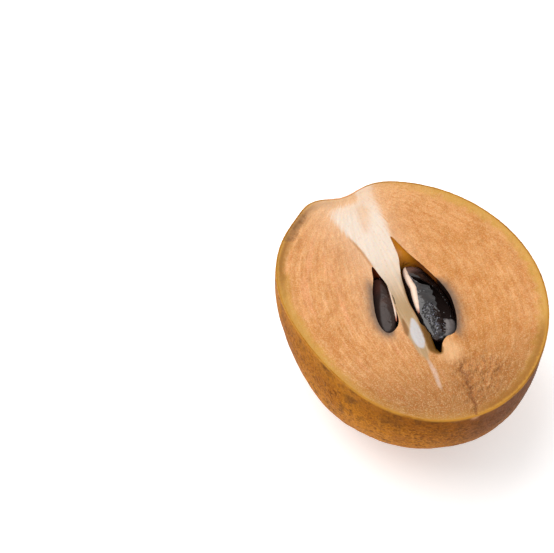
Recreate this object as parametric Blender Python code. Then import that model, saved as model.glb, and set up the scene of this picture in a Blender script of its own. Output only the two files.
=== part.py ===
"""Half a sapodilla, cut lengthwise through its core and lying cut face up on a small flat foot.

The fruit is one grown piece of skin, flesh and pale core. Two flattened seeds lie beside the core,
each in its own chamber. +Z is up, +Y runs along the core towards the stem, and the origin is on
the floor under the middle of the half.
"""

import math
from dataclasses import dataclass

import bmesh
import bpy
import numpy as np
from mathutils import Euler, Matrix, Vector

MM = 0.001
DEGREE = math.pi / 180.0

# Cut face: a round with low lobes, each given by its count, height and direction
CUT_RADIUS = 36.0 * MM
LOBES = (
    (2, 2.62 * MM, 90.8 * DEGREE),
    (3, 0.85 * MM, 19.6 * DEGREE),
    (4, 0.30 * MM, -16.1 * DEGREE),
)
CUT_HEIGHT = 33.0 * MM

# Bowl below the cut: it would close just under the floor if the foot were not flat
BOWL_DEPTH = 33.4 * MM
BOWL_FULLNESS = 2.4

# Low lobes of the bowl, fullest half way down
BOWL_LOBES = (
    (2, 0.30 * MM, 200.0 * DEGREE),
    (4, 0.90 * MM, 28.0 * DEGREE),
)

# Dimple that the stem sat in, at the end of the core, and the low swellings on both sides of it,
# each given by its direction, depth and width
STEM_DENTS = (
    (100.0 * DEGREE, 3.1 * MM, 6.1 * MM),
    (111.2 * DEGREE, -2.0 * MM, 4.2 * MM),
    (90.0 * DEGREE, -0.8 * MM, 7.0 * MM),
)

# Seed chambers: rims on the cut face, measured from the middle of its outline
RIGHT_RIM = (
    (1.1, 19.7), (2.6, 14.1), (4.5, 10.0), (6.5, 5.9), (7.9, 2.2), (8.7, -2.0), (8.3, -6.1),
    (7.2, -10.4), (5.4, -13.6), (2.6, -14.5), (0.9, -16.2), (-0.6, -18.8), (-2.6, -17.2),
    (-2.5, -13.6), (-2.1, -7.2), (-2.3, -1.0), (-1.2, 6.2), (0.6, 12.9),
)
LEFT_RIM = (
    (-7.1, 11.6), (-6.2, 8.3), (-5.6, 4.0), (-6.2, -1.2), (-6.9, -6.4), (-8.8, -8.9),
    (-11.2, -9.6), (-12.5, -7.2), (-12.3, -2.8), (-10.7, 3.2), (-8.7, 7.8),
)

# A chamber's mouth closes with depth, down to this share of its depth
MOUTH_REACH = 0.93
MOUTH_CLEAR = 2.0 * MM

# Room round a seed in its nest
SEED_GAP = 0.35 * MM

# Broken place in the right seed's coat, with its ragged edge on the left
BREAK_OUTLINE = (
    (1.7, 7.3), (2.3, 5.1), (3.0, 3.6), (5.0, 2.7), (5.3, 0.6), (4.6, -0.6), (5.1, -1.5),
    (4.4, -2.7), (4.7, -3.6), (4.0, -4.6), (4.4, -6.0), (3.8, -8.1), (5.0, -8.4), (6.8, -8.2),
    (8.1, -5.9), (8.5, -2.9), (7.9, 0.6), (6.6, 3.4), (4.4, 5.9),
)
BREAK_FLOOR = 4.8 * MM

SKIN_SIDES = 88
BOWL_RINGS = 15
FACE_RINGS = (0.95, 0.87, 0.74, 0.55, 0.33, 0.14)
MOUTH_SIDES = 56
MOUTH_RINGS = 8
SEED_SIDES = 28
SEED_RINGS = 20
HILUM_SIDES = 8
HILUM_RINGS = 12


@dataclass(frozen=True)
class Seed:
    """A flattened seed: its sizes, and its place measured from the middle of the cut face."""

    name: str
    length: float
    back_width: float
    hilum_width: float
    thickness: float
    taper: float
    hilum_side: int
    middle: tuple
    depth: float
    roll: float
    pitch: float
    yaw: float
    hilum_rise: float


SEEDS = (
    Seed("seed_right", 26.0 * MM, 6.2 * MM, 4.4 * MM, 5.6 * MM, 0.20, -1, (3.2, -1.2), 3.2 * MM,
         11.0 * DEGREE, -3.0 * DEGREE, -4.5 * DEGREE, 45.0 * DEGREE),
    Seed("seed_left", 19.5 * MM, 3.8 * MM, 3.6 * MM, 3.8 * MM, 0.10, 1, (-9.0, -0.2), 2.9 * MM,
         30.0 * DEGREE, -2.0 * DEGREE, -11.0 * DEGREE, 20.0 * DEGREE),
)


@dataclass(frozen=True)
class Chamber:
    """Mouth of a seed chamber: its rim, the place it closes on, and how steep each wall is."""

    name: str
    rim: tuple
    middle: tuple
    depth: float
    side_power: float
    stem_power: float
    tip_power: float


CHAMBERS = (
    Chamber("right_mouth", RIGHT_RIM, (2.9, -1.5), 6.2 * MM, 3.2, 2.2, 5.0),
    Chamber("left_mouth", LEFT_RIM, (-9.0, 0.0), 5.8 * MM, 3.2, 1.9, 1.9),
)

# How a seed rounds off towards its ends: a low power keeps it full for longer
SEED_BACK_POWER = 0.9
SEED_HILUM_POWER = 0.5
SEED_THIN_END = 0.5

# Pale scar along the seed's inner edge, where it hung from the core, in shares of half its length.
# It runs straight while the edge bulges, so it climbs the seed's side towards its own middle.
HILUM_START = -0.34
HILUM_END = 0.86
HILUM_PROUD = 0.35 * MM
HILUM_RADIUS = 0.80 * MM
HILUM_END_SIZE = 0.45
HILUM_END_POWER = 0.4
HILUM_END_RISE = 0.40

FLESH_COLOUR = (0.72, 0.40, 0.17, 1.0)
FLESH_ROUGHNESS = 0.55
FLESH_SHARP = 40.0 * DEGREE
SEED_COLOUR = (0.015, 0.011, 0.010, 1.0)
SEED_ROUGHNESS = 0.16
SEED_SHARP = 35.0 * DEGREE


def clear_scene():
    """Remove whatever the scene holds."""
    for item in list(bpy.data.objects):
        bpy.data.objects.remove(item, do_unlink=True)


def make_material(name, colour, roughness):
    """Give a Principled material with one colour and roughness."""
    material = bpy.data.materials.new(name)
    material.use_nodes = True
    shader = material.node_tree.nodes["Principled BSDF"]
    shader.inputs["Base Color"].default_value = colour
    shader.inputs["Roughness"].default_value = roughness
    shader.inputs["Metallic"].default_value = 0.0
    return material


def waves(lobes, angle):
    """Height of low lobes at an angle."""
    return sum(height * math.cos(count * (angle - turn)) for count, height, turn in lobes)


def cut_radius(angle):
    """Distance from the middle of the cut face to its rim, before the stem's dimple."""
    return CUT_RADIUS + waves(LOBES, angle)


def wrapped(angle):
    """The same angle between minus and plus half a turn."""
    return (angle + math.pi) % (2.0 * math.pi) - math.pi


def skin_point(angle, climb):
    """Point of the skin, climb being 0 at the cut and a quarter turn at the bottom of the bowl."""
    scale = math.cos(climb) ** (2.0 / BOWL_FULLNESS)
    depth = BOWL_DEPTH * math.sin(climb) ** (2.0 / BOWL_FULLNESS)
    radius = scale * cut_radius(angle) + waves(BOWL_LOBES, angle) * math.sin(2.0 * climb)
    for direction, dip, width in STEM_DENTS:
        aside = scale * cut_radius(angle) * wrapped(angle - direction)
        radius -= dip * math.exp(-(aside ** 2 + depth ** 2) / (2.0 * width ** 2))
    return Vector((radius * math.cos(angle), radius * math.sin(angle), CUT_HEIGHT - depth))


def fruit_rings():
    """Rings of the whole half, from its foot up to the rim and in over the cut face."""
    angles = [2.0 * math.pi * step / SKIN_SIDES for step in range(SKIN_SIDES)]
    foot_climb = math.asin((CUT_HEIGHT / BOWL_DEPTH) ** (BOWL_FULLNESS / 2.0))
    rings = []
    for row in range(BOWL_RINGS, -1, -1):
        rings.append([skin_point(angle, foot_climb * row / BOWL_RINGS) for angle in angles])
    rim = rings[-1]
    for reach in FACE_RINGS:
        rings.append([Vector((p.x * reach, p.y * reach, CUT_HEIGHT)) for p in rim])
    return rings


def middle_of(rings):
    """Middle of the box round the rings, seen from above."""
    points = [point for ring in rings for point in ring]
    low_x, high_x = min(p.x for p in points), max(p.x for p in points)
    low_y, high_y = min(p.y for p in points), max(p.y for p in points)
    return Vector(((low_x + high_x) / 2.0, (low_y + high_y) / 2.0, 0.0))


OFFSET = -middle_of(fruit_rings())


def add_object(name, mesh_bm, material=None):
    """Turn a bmesh, moved to the part's frame, into a smooth named object."""
    bmesh.ops.translate(mesh_bm, verts=mesh_bm.verts, vec=OFFSET)
    bmesh.ops.recalc_face_normals(mesh_bm, faces=mesh_bm.faces)
    mesh = bpy.data.meshes.new(name)
    mesh_bm.to_mesh(mesh)
    mesh_bm.free()
    item = bpy.data.objects.new(name, mesh)
    bpy.context.collection.objects.link(item)
    if material is not None:
        mesh.materials.append(material)
    return item


def loft(rings, first_pole=None, last_pole=None):
    """Closed bmesh through rings of equal count, its ends capped flat or drawn to a pole."""
    mesh_bm = bmesh.new()
    rows = [[mesh_bm.verts.new(point) for point in ring] for ring in rings]
    count = len(rows[0])
    for lower, upper in zip(rows, rows[1:]):
        for side in range(count):
            after = (side + 1) % count
            mesh_bm.faces.new((lower[side], lower[after], upper[after], upper[side]))
    for row, pole in ((rows[0], first_pole), (rows[-1], last_pole)):
        if pole is None:
            mesh_bm.faces.new(row)
            continue
        tip = mesh_bm.verts.new(pole)
        for side in range(count):
            mesh_bm.faces.new((row[side], row[(side + 1) % count], tip))
    return mesh_bm


def smooth_loop(points, count):
    """Evenly spaced points on a smooth closed curve through the given points, in metres."""
    corners = np.array(points) * MM
    before, after, beyond = (np.roll(corners, shift, axis=0) for shift in (1, -1, -2))
    fine = []
    for t in np.linspace(0.0, 1.0, 9)[:-1]:
        fine.append(0.5 * (2.0 * corners + (after - before) * t
                           + (2.0 * before - 5.0 * corners + 4.0 * after - beyond) * t ** 2
                           + (3.0 * corners - before - 3.0 * after + beyond) * t ** 3))
    curve = np.stack(fine, axis=1).reshape(-1, 2)
    closed = np.vstack([curve, curve[:1]])
    lengths = np.concatenate([[0.0], np.cumsum(np.hypot(*np.diff(closed, axis=0).T))])
    wanted = np.linspace(0.0, lengths[-1], count + 1)[:-1]
    return [Vector((np.interp(w, lengths, closed[:, 0]), np.interp(w, lengths, closed[:, 1])))
            for w in wanted]


def closing(share, power):
    """Width left at a share of a chamber's depth: a high power keeps the wall steep for longer."""
    return (1.0 - share ** power) ** (1.0 / power)


def mouth_cutter(chamber):
    """Cutter for the open upper part of a chamber, from above the cut down to its floor."""
    loop = smooth_loop(chamber.rim, MOUTH_SIDES)
    centre = Vector(chamber.middle) * MM
    rings = [[Vector((p.x, p.y, CUT_HEIGHT + MOUTH_CLEAR)) for p in loop]]
    for row in range(MOUTH_RINGS + 1):
        share = MOUTH_REACH * math.sin(0.5 * math.pi * row / MOUTH_RINGS)
        across = closing(share, chamber.side_power)
        to_stem = closing(share, chamber.stem_power)
        to_tip = closing(share, chamber.tip_power)
        ring = []
        for point in loop:
            out = point - centre
            along = to_stem if out.y > 0.0 else to_tip
            ring.append(Vector((centre.x + out.x * across, centre.y + out.y * along,
                                CUT_HEIGHT - chamber.depth * share)))
        rings.append(ring)
    return as_cutter(add_object(chamber.name, loft(rings)))


def as_cutter(item):
    """Mark an object as a cutter, which is not part of the fruit."""
    item.hide_render = True
    item.display_type = "WIRE"
    return item


def seed_half_sizes(seed, along, grow=0.0):
    """Half sizes of a seed at a share of its length: to its back, to its hilum, and up."""
    round_off = math.sqrt(max(0.0, 1.0 - along ** 2))
    narrow = 1.0 - seed.taper * along
    back = seed.back_width * round_off ** SEED_BACK_POWER * narrow
    hilum = seed.hilum_width * round_off ** SEED_HILUM_POWER
    thin = 1.0 - SEED_THIN_END * seed.taper * along
    up = 0.5 * seed.thickness * round_off ** SEED_BACK_POWER * thin
    return back + grow, hilum + grow, up + grow


def seed_mesh(seed, grow=0.0):
    """Seed in its own frame, with its flat sides up and down and the narrow end at +Y."""
    half_length = 0.5 * seed.length + grow
    rings = []
    for row in range(1, SEED_RINGS):
        along = -math.cos(math.pi * row / SEED_RINGS)
        back, hilum, up = seed_half_sizes(seed, along, grow)
        ring = []
        for side in range(SEED_SIDES):
            turn = 2.0 * math.pi * side / SEED_SIDES
            out = math.cos(turn)
            width = hilum if out > 0.0 else back
            ring.append(Vector((seed.hilum_side * width * out, along * half_length,
                                up * math.sin(turn))))
        rings.append(ring)
    return loft(rings, Vector((0.0, -half_length, 0.0)), Vector((0.0, half_length, 0.0)))


def hilum_mesh(seed, grow=0.0):
    """Raised strip along the seed's inner edge, tapering out at both ends."""
    rings = []
    for row in range(HILUM_RINGS + 1):
        share = row / HILUM_RINGS
        along = HILUM_START + (HILUM_END - HILUM_START) * share
        _, width, up = seed_half_sizes(seed, along, HILUM_PROUD - HILUM_RADIUS)
        bulge = math.sin(math.pi * share)
        rise = seed.hilum_rise * (HILUM_END_RISE + (1.0 - HILUM_END_RISE) * bulge)
        centre = Vector((seed.hilum_side * width * math.cos(rise), along * 0.5 * seed.length,
                         up * math.sin(rise)))
        fade = HILUM_END_SIZE + (1.0 - HILUM_END_SIZE) * bulge ** HILUM_END_POWER
        ends = Vector((0.0, grow * (2.0 * share - 1.0), 0.0))
        ring = []
        for side in range(HILUM_SIDES):
            turn = 2.0 * math.pi * (side + 0.5) / HILUM_SIDES
            out = Vector((math.cos(turn), 0.0, math.sin(turn)))
            ring.append(centre + ends + out * (HILUM_RADIUS * fade + grow))
        rings.append(ring)
    return loft(rings)


def seed_place(seed):
    """Matrix that lays a seed in its chamber, with its hilum edge rolled up."""
    turn = Euler((seed.pitch, -seed.hilum_side * seed.roll, 0.0), "XYZ").to_matrix().to_4x4()
    yaw = Matrix.Rotation(seed.yaw, 4, "Z")
    middle = Vector((seed.middle[0] * MM, seed.middle[1] * MM, CUT_HEIGHT - seed.depth))
    return Matrix.Translation(middle) @ yaw @ turn


def placed(mesh_bm, seed):
    """The same bmesh laid in the seed's place."""
    bmesh.ops.transform(mesh_bm, matrix=seed_place(seed), verts=mesh_bm.verts)
    return mesh_bm


def apply_boolean(item, other, operation):
    """Join or cut an object with another one, keep the result and remove the other."""
    modifier = item.modifiers.new(other.name, "BOOLEAN")
    modifier.operation = operation
    modifier.solver = "EXACT"
    modifier.object = other
    bpy.context.view_layer.update()
    result = bpy.data.meshes.new_from_object(item.evaluated_get(bpy.context.evaluated_depsgraph_get()))
    item.modifiers.clear()
    item.data = result
    bpy.data.objects.remove(other, do_unlink=True)


def shade(item, sharp_angle):
    """Shade an object smooth, with sharp edges above an angle."""
    item.data.shade_smooth()
    item.data.set_sharp_from_angle(angle=sharp_angle)


def break_cutter():
    """Cutter for the broken place in the right seed's coat."""
    floor, top = CUT_HEIGHT - BREAK_FLOOR, CUT_HEIGHT + MOUTH_CLEAR
    rings = [[Vector((x * MM, y * MM, height)) for x, y in BREAK_OUTLINE] for height in (floor, top)]
    return as_cutter(add_object("coat_break", loft(rings)))


def build_seed(seed, material):
    """One seed with its hilum."""
    item = add_object(seed.name, placed(seed_mesh(seed), seed), material)
    apply_boolean(item, add_object("hilum", placed(hilum_mesh(seed), seed), material), "UNION")
    return item


def build_fruit(material):
    """Skin, flesh and core in one, with a chamber cut for each seed."""
    rings = fruit_rings()
    fruit = add_object("fruit", loft(rings, last_pole=Vector((0.0, 0.0, CUT_HEIGHT))), material)
    for chamber in CHAMBERS:
        apply_boolean(fruit, mouth_cutter(chamber), "DIFFERENCE")
    for seed in SEEDS:
        for shape in (seed_mesh, hilum_mesh):
            nest = as_cutter(add_object(seed.name + "_nest", placed(shape(seed, SEED_GAP), seed)))
            apply_boolean(fruit, nest, "DIFFERENCE")
    return fruit


def main():
    """Build the half fruit and its two seeds."""
    clear_scene()
    flesh = make_material("flesh", FLESH_COLOUR, FLESH_ROUGHNESS)
    coat = make_material("seed_coat", SEED_COLOUR, SEED_ROUGHNESS)
    shade(build_fruit(flesh), FLESH_SHARP)
    right, left = (build_seed(seed, coat) for seed in SEEDS)
    apply_boolean(right, break_cutter(), "DIFFERENCE")
    for item in (right, left):
        shade(item, SEED_SHARP)


main()
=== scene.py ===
"""Looks of half a sapodilla, cut lengthwise, lying cut face up with its two black seeds.

The half is dressed in closed pieces: the flesh with its pale core and open seed chambers, the thin
skin round it, and the two seeds with their cream scars. Every length is in metres, in the frame of
the solids: +Z up and +Y along the core to the stem. Outlines on the cut face are in millimetres
from the middle of the cut face, and are named for what they go round.
"""

import logging
import math
from dataclasses import dataclass, field
from enum import Enum
from typing import Dict, List, Mapping, Optional, Sequence, Tuple, Union

import bmesh
import bpy
import numpy as np
from mathutils import Euler, Matrix, Vector
from mathutils.geometry import delaunay_2d_cdt


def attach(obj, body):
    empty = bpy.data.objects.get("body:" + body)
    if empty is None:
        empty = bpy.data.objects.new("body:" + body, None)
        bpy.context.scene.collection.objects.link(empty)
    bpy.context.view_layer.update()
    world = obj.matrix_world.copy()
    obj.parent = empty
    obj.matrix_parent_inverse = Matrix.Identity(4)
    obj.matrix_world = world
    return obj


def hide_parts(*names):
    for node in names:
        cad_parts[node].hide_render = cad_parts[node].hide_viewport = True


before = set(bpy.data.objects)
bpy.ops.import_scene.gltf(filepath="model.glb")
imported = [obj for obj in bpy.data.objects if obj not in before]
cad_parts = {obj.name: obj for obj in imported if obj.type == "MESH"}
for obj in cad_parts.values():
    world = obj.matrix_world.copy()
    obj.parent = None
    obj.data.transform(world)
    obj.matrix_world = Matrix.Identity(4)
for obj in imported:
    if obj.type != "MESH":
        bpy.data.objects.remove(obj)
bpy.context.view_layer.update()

LOG = logging.getLogger("sapodilla")
MM = 0.001
DEGREE = math.pi / 180.0

Pair = Tuple[float, float]
Tint = Tuple[float, float, float, float]


def tint(red: int, green: int, blue: int) -> Tint:
    """Turn a display colour into the linear colour that a shader takes.

    Args:
        red: Red from 0 to 255.
        green: Green from 0 to 255.
        blue: Blue from 0 to 255.

    Returns:
        The linear colour with full opacity.
    """
    def linear(level: int) -> float:
        """One channel made linear."""
        share = level / 255.0
        return share / 12.92 if share <= 0.04045 else ((share + 0.055) / 1.055) ** 2.4

    return (linear(red), linear(green), linear(blue), 1.0)


def eased(values: np.ndarray, low: float, high: float) -> np.ndarray:
    """Rise smoothly from 0 at low to 1 at high.

    Args:
        values: What is measured.
        low: Value that gives 0.
        high: Value that gives 1; it may be the smaller one.

    Returns:
        The eased values.
    """
    share = np.clip((values - low) / (high - low), 0.0, 1.0)
    return share * share * (3.0 - 2.0 * share)


def smooth_loop(points: Sequence[Pair], count: int) -> np.ndarray:
    """Lay evenly spaced points on a smooth closed curve.

    Args:
        points: Corners that the curve goes through.
        count: How many points to lay.

    Returns:
        The points, one in each row.
    """
    corners = np.array(points, float)
    before, after, beyond = (np.roll(corners, shift, axis=0) for shift in (1, -1, -2))
    fine = []
    for t in np.linspace(0.0, 1.0, 17)[:-1]:
        fine.append(0.5 * (2.0 * corners + (after - before) * t
                           + (2.0 * before - 5.0 * corners + 4.0 * after - beyond) * t ** 2
                           + (3.0 * corners - before - 3.0 * after + beyond) * t ** 3))
    curve = np.stack(fine, axis=1).reshape(-1, 2)
    closed = np.vstack([curve, curve[:1]])
    lengths = np.concatenate([[0.0], np.cumsum(np.hypot(*np.diff(closed, axis=0).T))])
    wanted = np.linspace(0.0, lengths[-1], count + 1)[:-1]
    return np.stack([np.interp(wanted, lengths, closed[:, k]) for k in (0, 1)], axis=1)


def distance_to_path(points: np.ndarray, path: np.ndarray) -> np.ndarray:
    """Measure how far points are from a path.

    Args:
        points: Points, one in each row.
        path: Corners of the path; a closed one repeats its first corner.

    Returns:
        The distances.
    """
    nearest = np.full(len(points), np.inf)
    for start, end in zip(path[:-1], path[1:]):
        run = end - start
        share = np.clip(((points - start) @ run) / max(run @ run, 1e-12), 0.0, 1.0)
        away = points - start - share[:, None] * run
        nearest = np.minimum(nearest, np.hypot(away[:, 0], away[:, 1]))
    return nearest


def inside_loop(points: np.ndarray, loop: np.ndarray) -> np.ndarray:
    """Tell which points lie inside a closed outline.

    Args:
        points: Points, one in each row.
        loop: Corners of the outline.

    Returns:
        True for each point inside.
    """
    inside = np.zeros(len(points), bool)
    x, y = points[:, 0], points[:, 1]
    for (x1, y1), (x2, y2) in zip(loop, np.roll(loop, -1, axis=0)):
        if y1 == y2:
            continue
        crosses = (y1 > y) != (y2 > y)
        inside ^= crosses & (x < (x2 - x1) * (y - y1) / (y2 - y1) + x1)
    return inside


def depth_inside(points: np.ndarray, loop: np.ndarray) -> np.ndarray:
    """Measure how deep points lie inside a closed outline, below zero outside it.

    Args:
        points: Points, one in each row.
        loop: Corners of the outline.

    Returns:
        The signed distances to the outline.
    """
    away = distance_to_path(points, np.vstack([loop, loop[:1]]))
    return np.where(inside_loop(points, loop), away, -away)


def within(points: np.ndarray, outline: Sequence[Pair], count: int, soft: Pair) -> np.ndarray:
    """Tell how far points are inside a smooth outline, with a soft edge.

    Args:
        points: Points, one in each row, in millimetres.
        outline: Corners that the outline goes through.
        count: How many points to lay on it.
        soft: Depths inside it that give 0 and 1.

    Returns:
        The shares, 0 to 1.
    """
    return eased(depth_inside(points, smooth_loop(outline, count)), *soft)


def round_steps(count: int) -> np.ndarray:
    """Directions spread evenly over a full turn."""
    return np.linspace(0.0, 2.0 * math.pi, count + 1)[:-1]


def laid(points: np.ndarray, place: Matrix) -> np.ndarray:
    """Move points by a matrix."""
    matrix = np.array(place)
    return points @ matrix[:3, :3].T + matrix[:3, 3]


# The numbers of the half, as its solids have them


@dataclass(frozen=True)
class HalfShape:
    """Round with low lobes, cut level, over a bowl that ends in a flat foot."""

    cut_radius: float = 36.0 * MM
    lobes: Tuple[Tuple[int, float, float], ...] = (
        (2, 2.62 * MM, 90.8 * DEGREE),
        (3, 0.85 * MM, 19.6 * DEGREE),
        (4, 0.30 * MM, -16.1 * DEGREE),
    )
    cut_height: float = 33.0 * MM
    bowl_depth: float = 33.4 * MM
    fullness: float = 2.4
    bowl_lobes: Tuple[Tuple[int, float, float], ...] = (
        (2, 0.30 * MM, 200.0 * DEGREE),
        (4, 0.90 * MM, 28.0 * DEGREE),
    )
    stem_dents: Tuple[Tuple[float, float, float], ...] = (
        (100.0 * DEGREE, 3.1 * MM, 6.1 * MM),
        (111.2 * DEGREE, -2.0 * MM, 4.2 * MM),
        (90.0 * DEGREE, -0.8 * MM, 7.0 * MM),
    )
    facets: int = 88
    facet_rings: int = 15

    def radius_at(self, angle: np.ndarray) -> np.ndarray:
        """Distance from the middle of the cut to its rim, before the stem's dimple."""
        return self.cut_radius + sum(h * np.cos(n * (angle - turn)) for n, h, turn in self.lobes)

    def skin_points(self, angle: np.ndarray, climb: float, inset: float) -> np.ndarray:
        """Points of one level ring, measured from the middle of the cut.

        Args:
            angle: Directions of the points.
            climb: 0 at the cut, and a quarter turn at the bottom of the bowl.
            inset: How far inside the skin the ring lies.

        Returns:
            The points, one in each row, with their height above the floor.
        """
        power = 2.0 / self.fullness
        scale = max(math.cos(climb), 0.0) ** power
        depth = (self.bowl_depth - inset) * math.sin(climb) ** power
        lobe = sum(h * np.cos(n * (angle - turn)) for n, h, turn in self.bowl_lobes)
        radius = scale * (self.radius_at(angle) - inset) + lobe * math.sin(2.0 * climb)
        for direction, dip, width in self.stem_dents:
            around = (angle - direction + math.pi) % (2.0 * math.pi) - math.pi
            aside = scale * self.radius_at(angle) * around
            radius = radius - dip * np.exp(-(aside ** 2 + depth ** 2) / (2.0 * width ** 2))
        height = np.full_like(angle, max(self.cut_height - depth, inset))
        return np.stack([radius * np.cos(angle), radius * np.sin(angle), height], axis=1)

    def offset(self) -> np.ndarray:
        """Find the middle of the cut in the frame, whose origin is under the middle of the box.

        Returns:
            Its place, with no height.
        """
        angle = round_steps(self.facets)
        foot_climb = math.asin((self.cut_height / self.bowl_depth) ** (0.5 * self.fullness))
        points = np.vstack([self.skin_points(angle, foot_climb * row / self.facet_rings, 0.0)
                            for row in range(self.facet_rings + 1)])
        return np.array([-0.5 * (points[:, k].min() + points[:, k].max()) for k in (0, 1)] + [0.0])


@dataclass(frozen=True)
class SeedShape:
    """A flattened seed: its sizes, and its place measured from the middle of the cut."""

    name: str
    length: float
    back_width: float
    hilum_width: float
    thickness: float
    taper: float
    hilum_side: int
    middle: Pair
    depth: float
    roll: float
    pitch: float
    yaw: float
    hilum_rise: float
    scar_radius: float
    scar_proud: float
    scar_span: Pair
    back_power: float = 0.9
    hilum_power: float = 0.5
    thin_end: float = 0.5

    def half_sizes(self, along: np.ndarray) -> Tuple[np.ndarray, np.ndarray, np.ndarray]:
        """Half sizes at shares of half the length, from -1 at the tip to 1 at the narrow end.

        Args:
            along: The shares.

        Returns:
            How far the seed reaches to its back, to its hilum, and up.
        """
        round_off = np.sqrt(np.maximum(0.0, 1.0 - along ** 2))
        narrow = 1.0 - self.taper * along
        back = self.back_width * round_off ** self.back_power * narrow
        hilum = self.hilum_width * round_off ** self.hilum_power
        thin = 1.0 - self.thin_end * self.taper * along
        return back, hilum, 0.5 * self.thickness * round_off ** self.back_power * thin

    def place(self, shape: HalfShape) -> Matrix:
        """Matrix that lays the seed in its chamber, in the frame.

        Args:
            shape: The half that holds it.

        Returns:
            The matrix.
        """
        turn = Euler((self.pitch, -self.hilum_side * self.roll, 0.0), "XYZ").to_matrix().to_4x4()
        offset = shape.offset()
        middle = Vector((self.middle[0] * MM + offset[0], self.middle[1] * MM + offset[1],
                         shape.cut_height - self.depth))
        return Matrix.Translation(middle) @ Matrix.Rotation(self.yaw, 4, "Z") @ turn


@dataclass(frozen=True)
class ChamberShape:
    """Mouth of a seed chamber: its rim, the place it closes on, and how steep its walls are."""

    name: str
    rim: Tuple[Pair, ...]
    middle: Pair
    depth: float
    side_power: float
    stem_power: float
    tip_power: float
    seed: SeedShape


HALF = HalfShape()
OFFSET = HALF.offset()

SEED_RIGHT = SeedShape("seed_right", 26.0 * MM, 6.2 * MM, 4.4 * MM, 5.6 * MM, 0.20, -1, (3.2, -1.2),
                       3.2 * MM, 11.0 * DEGREE, -3.0 * DEGREE, -4.5 * DEGREE, 45.0 * DEGREE,
                       0.92 * MM, 0.35 * MM, (-0.36, 0.975))
SEED_LEFT = SeedShape("seed_left", 19.5 * MM, 3.8 * MM, 3.6 * MM, 3.8 * MM, 0.10, 1, (-9.0, -0.2),
                      2.9 * MM, 30.0 * DEGREE, -2.0 * DEGREE, -11.0 * DEGREE, 8.0 * DEGREE,
                      0.34 * MM, 0.47 * MM, (-0.56, 0.99))

RIGHT_RIM = (
    (1.1, 19.7), (3.1, 14.3), (4.9, 10.3), (6.6, 6.1), (7.9, 2.2), (8.7, -2.0), (8.3, -6.1),
    (7.2, -10.4), (5.4, -13.6), (2.6, -14.5), (0.9, -16.2), (-0.6, -18.8), (-2.6, -17.2),
    (-2.5, -13.6), (-2.1, -7.2), (-2.3, -1.0), (-1.2, 6.2), (0.6, 12.9),
)
LEFT_RIM = (
    (-7.1, 11.6), (-6.2, 8.3), (-5.6, 4.0), (-6.2, -1.2), (-6.9, -6.4), (-8.8, -8.9),
    (-11.0, -9.4), (-12.1, -7.1), (-11.8, -2.8), (-10.2, 3.2), (-8.3, 7.8),
)
CHAMBER_RIGHT = ChamberShape("right", RIGHT_RIM, (2.9, -1.5), 6.2 * MM, 3.2, 2.2, 5.0, SEED_RIGHT)
CHAMBER_LEFT = ChamberShape("left", LEFT_RIM, (-9.0, 0.0), 5.8 * MM, 3.2, 1.9, 1.9, SEED_LEFT)

# Outlines of what shows on the cut face
CORE_LEFT = (
    (-12.0, 40.0), (-11.4, 32.8), (-10.8, 28.1), (-9.6, 23.7), (-8.6, 20.1), (-7.6, 16.5),
    (-7.0, 12.5), (-6.2, 8.3), (-5.6, 4.0), (-6.1, -1.2), (-6.3, -5.0), (-6.6, -8.0),
    (-6.6, -12.0), (-6.2, -17.0), (-5.4, -22.0), (-5.0, -30.0), (-5.0, -36.0),
)
CORE_RIGHT = (
    (3.0, 40.0), (1.4, 33.6), (1.5, 29.7), (1.4, 25.8), (1.2, 22.4), (1.1, 19.3), (0.6, 12.9),
    (-1.2, 6.2), (-2.3, -1.0), (-2.1, -7.2), (-2.4, -13.6), (-2.7, -17.0), (-3.8, -21.0),
    (-4.2, -30.0), (-4.6, -36.0),
)
PITH_PATCH = (
    (-3.4, -6.5), (-2.7, -9.6), (-2.8, -13.5), (-4.1, -16.2), (-5.5, -15.1), (-5.8, -11.7),
    (-4.8, -8.7),
)
BROWN_STRIP = ((-6.0, -6.1), (-5.5, -7.6), (-5.7, -10.1), (-6.6, -11.8), (-6.9, -9.8))
PALE_STREAK = ((-4.4, -17.0), (-4.4, -20.9), (-4.3, -23.5), (-4.7, -28.2), (-4.4, -31.5))
BROWN_CRACK = (
    (3.3, -23.0), (2.4, -24.8), (3.2, -26.5), (2.1, -28.6), (2.6, -31.0),
    (1.5, -33.4), (1.9, -35.6), (0.9, -37.9), (0.2, -40.3),
)
BROKEN_COAT = (
    (1.7, 7.3), (2.3, 5.1), (3.0, 3.6), (5.0, 2.7), (5.3, 0.6), (4.6, -0.6), (5.1, -1.5),
    (4.4, -2.7), (4.7, -3.6), (4.0, -4.6), (4.4, -6.0), (3.8, -8.1), (5.0, -8.4), (6.6, -8.2),
    (7.4, -6.1), (7.7, -3.0), (7.1, 0.4), (5.9, 2.9), (3.9, 5.3),
)
LEFT_SHEEN = (
    (-5.4, 7.2), (-5.2, 3.4), (-5.6, -0.8), (-6.9, -4.8), (-9.1, -7.6), (-10.8, -7.8),
    (-10.7, -5.0), (-9.5, -0.7), (-7.7, 3.1), (-6.6, 6.2),
)
GREY_COAT = (
    (4.4, -9.3), (5.7, -8.7), (7.3, -8.8), (7.0, -11.0), (5.7, -13.3), (4.0, -14.2), (3.2, -12.9),
)
CRUMBLED_COAT = (
    (1.3, -3.3), (3.5, -3.2), (3.7, -5.3), (4.5, -8.8), (4.0, -12.0), (1.7, -13.7), (0.5, -12.0),
    (0.3, -8.4), (-0.3, -5.2),
)
CORE_ISLAND = ((-2.9, 31.2), (-1.1, 30.0), (-2.6, 25.5), (-4.5, 22.6), (-4.8, 25.4), (-4.1, 29.4))
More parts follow.
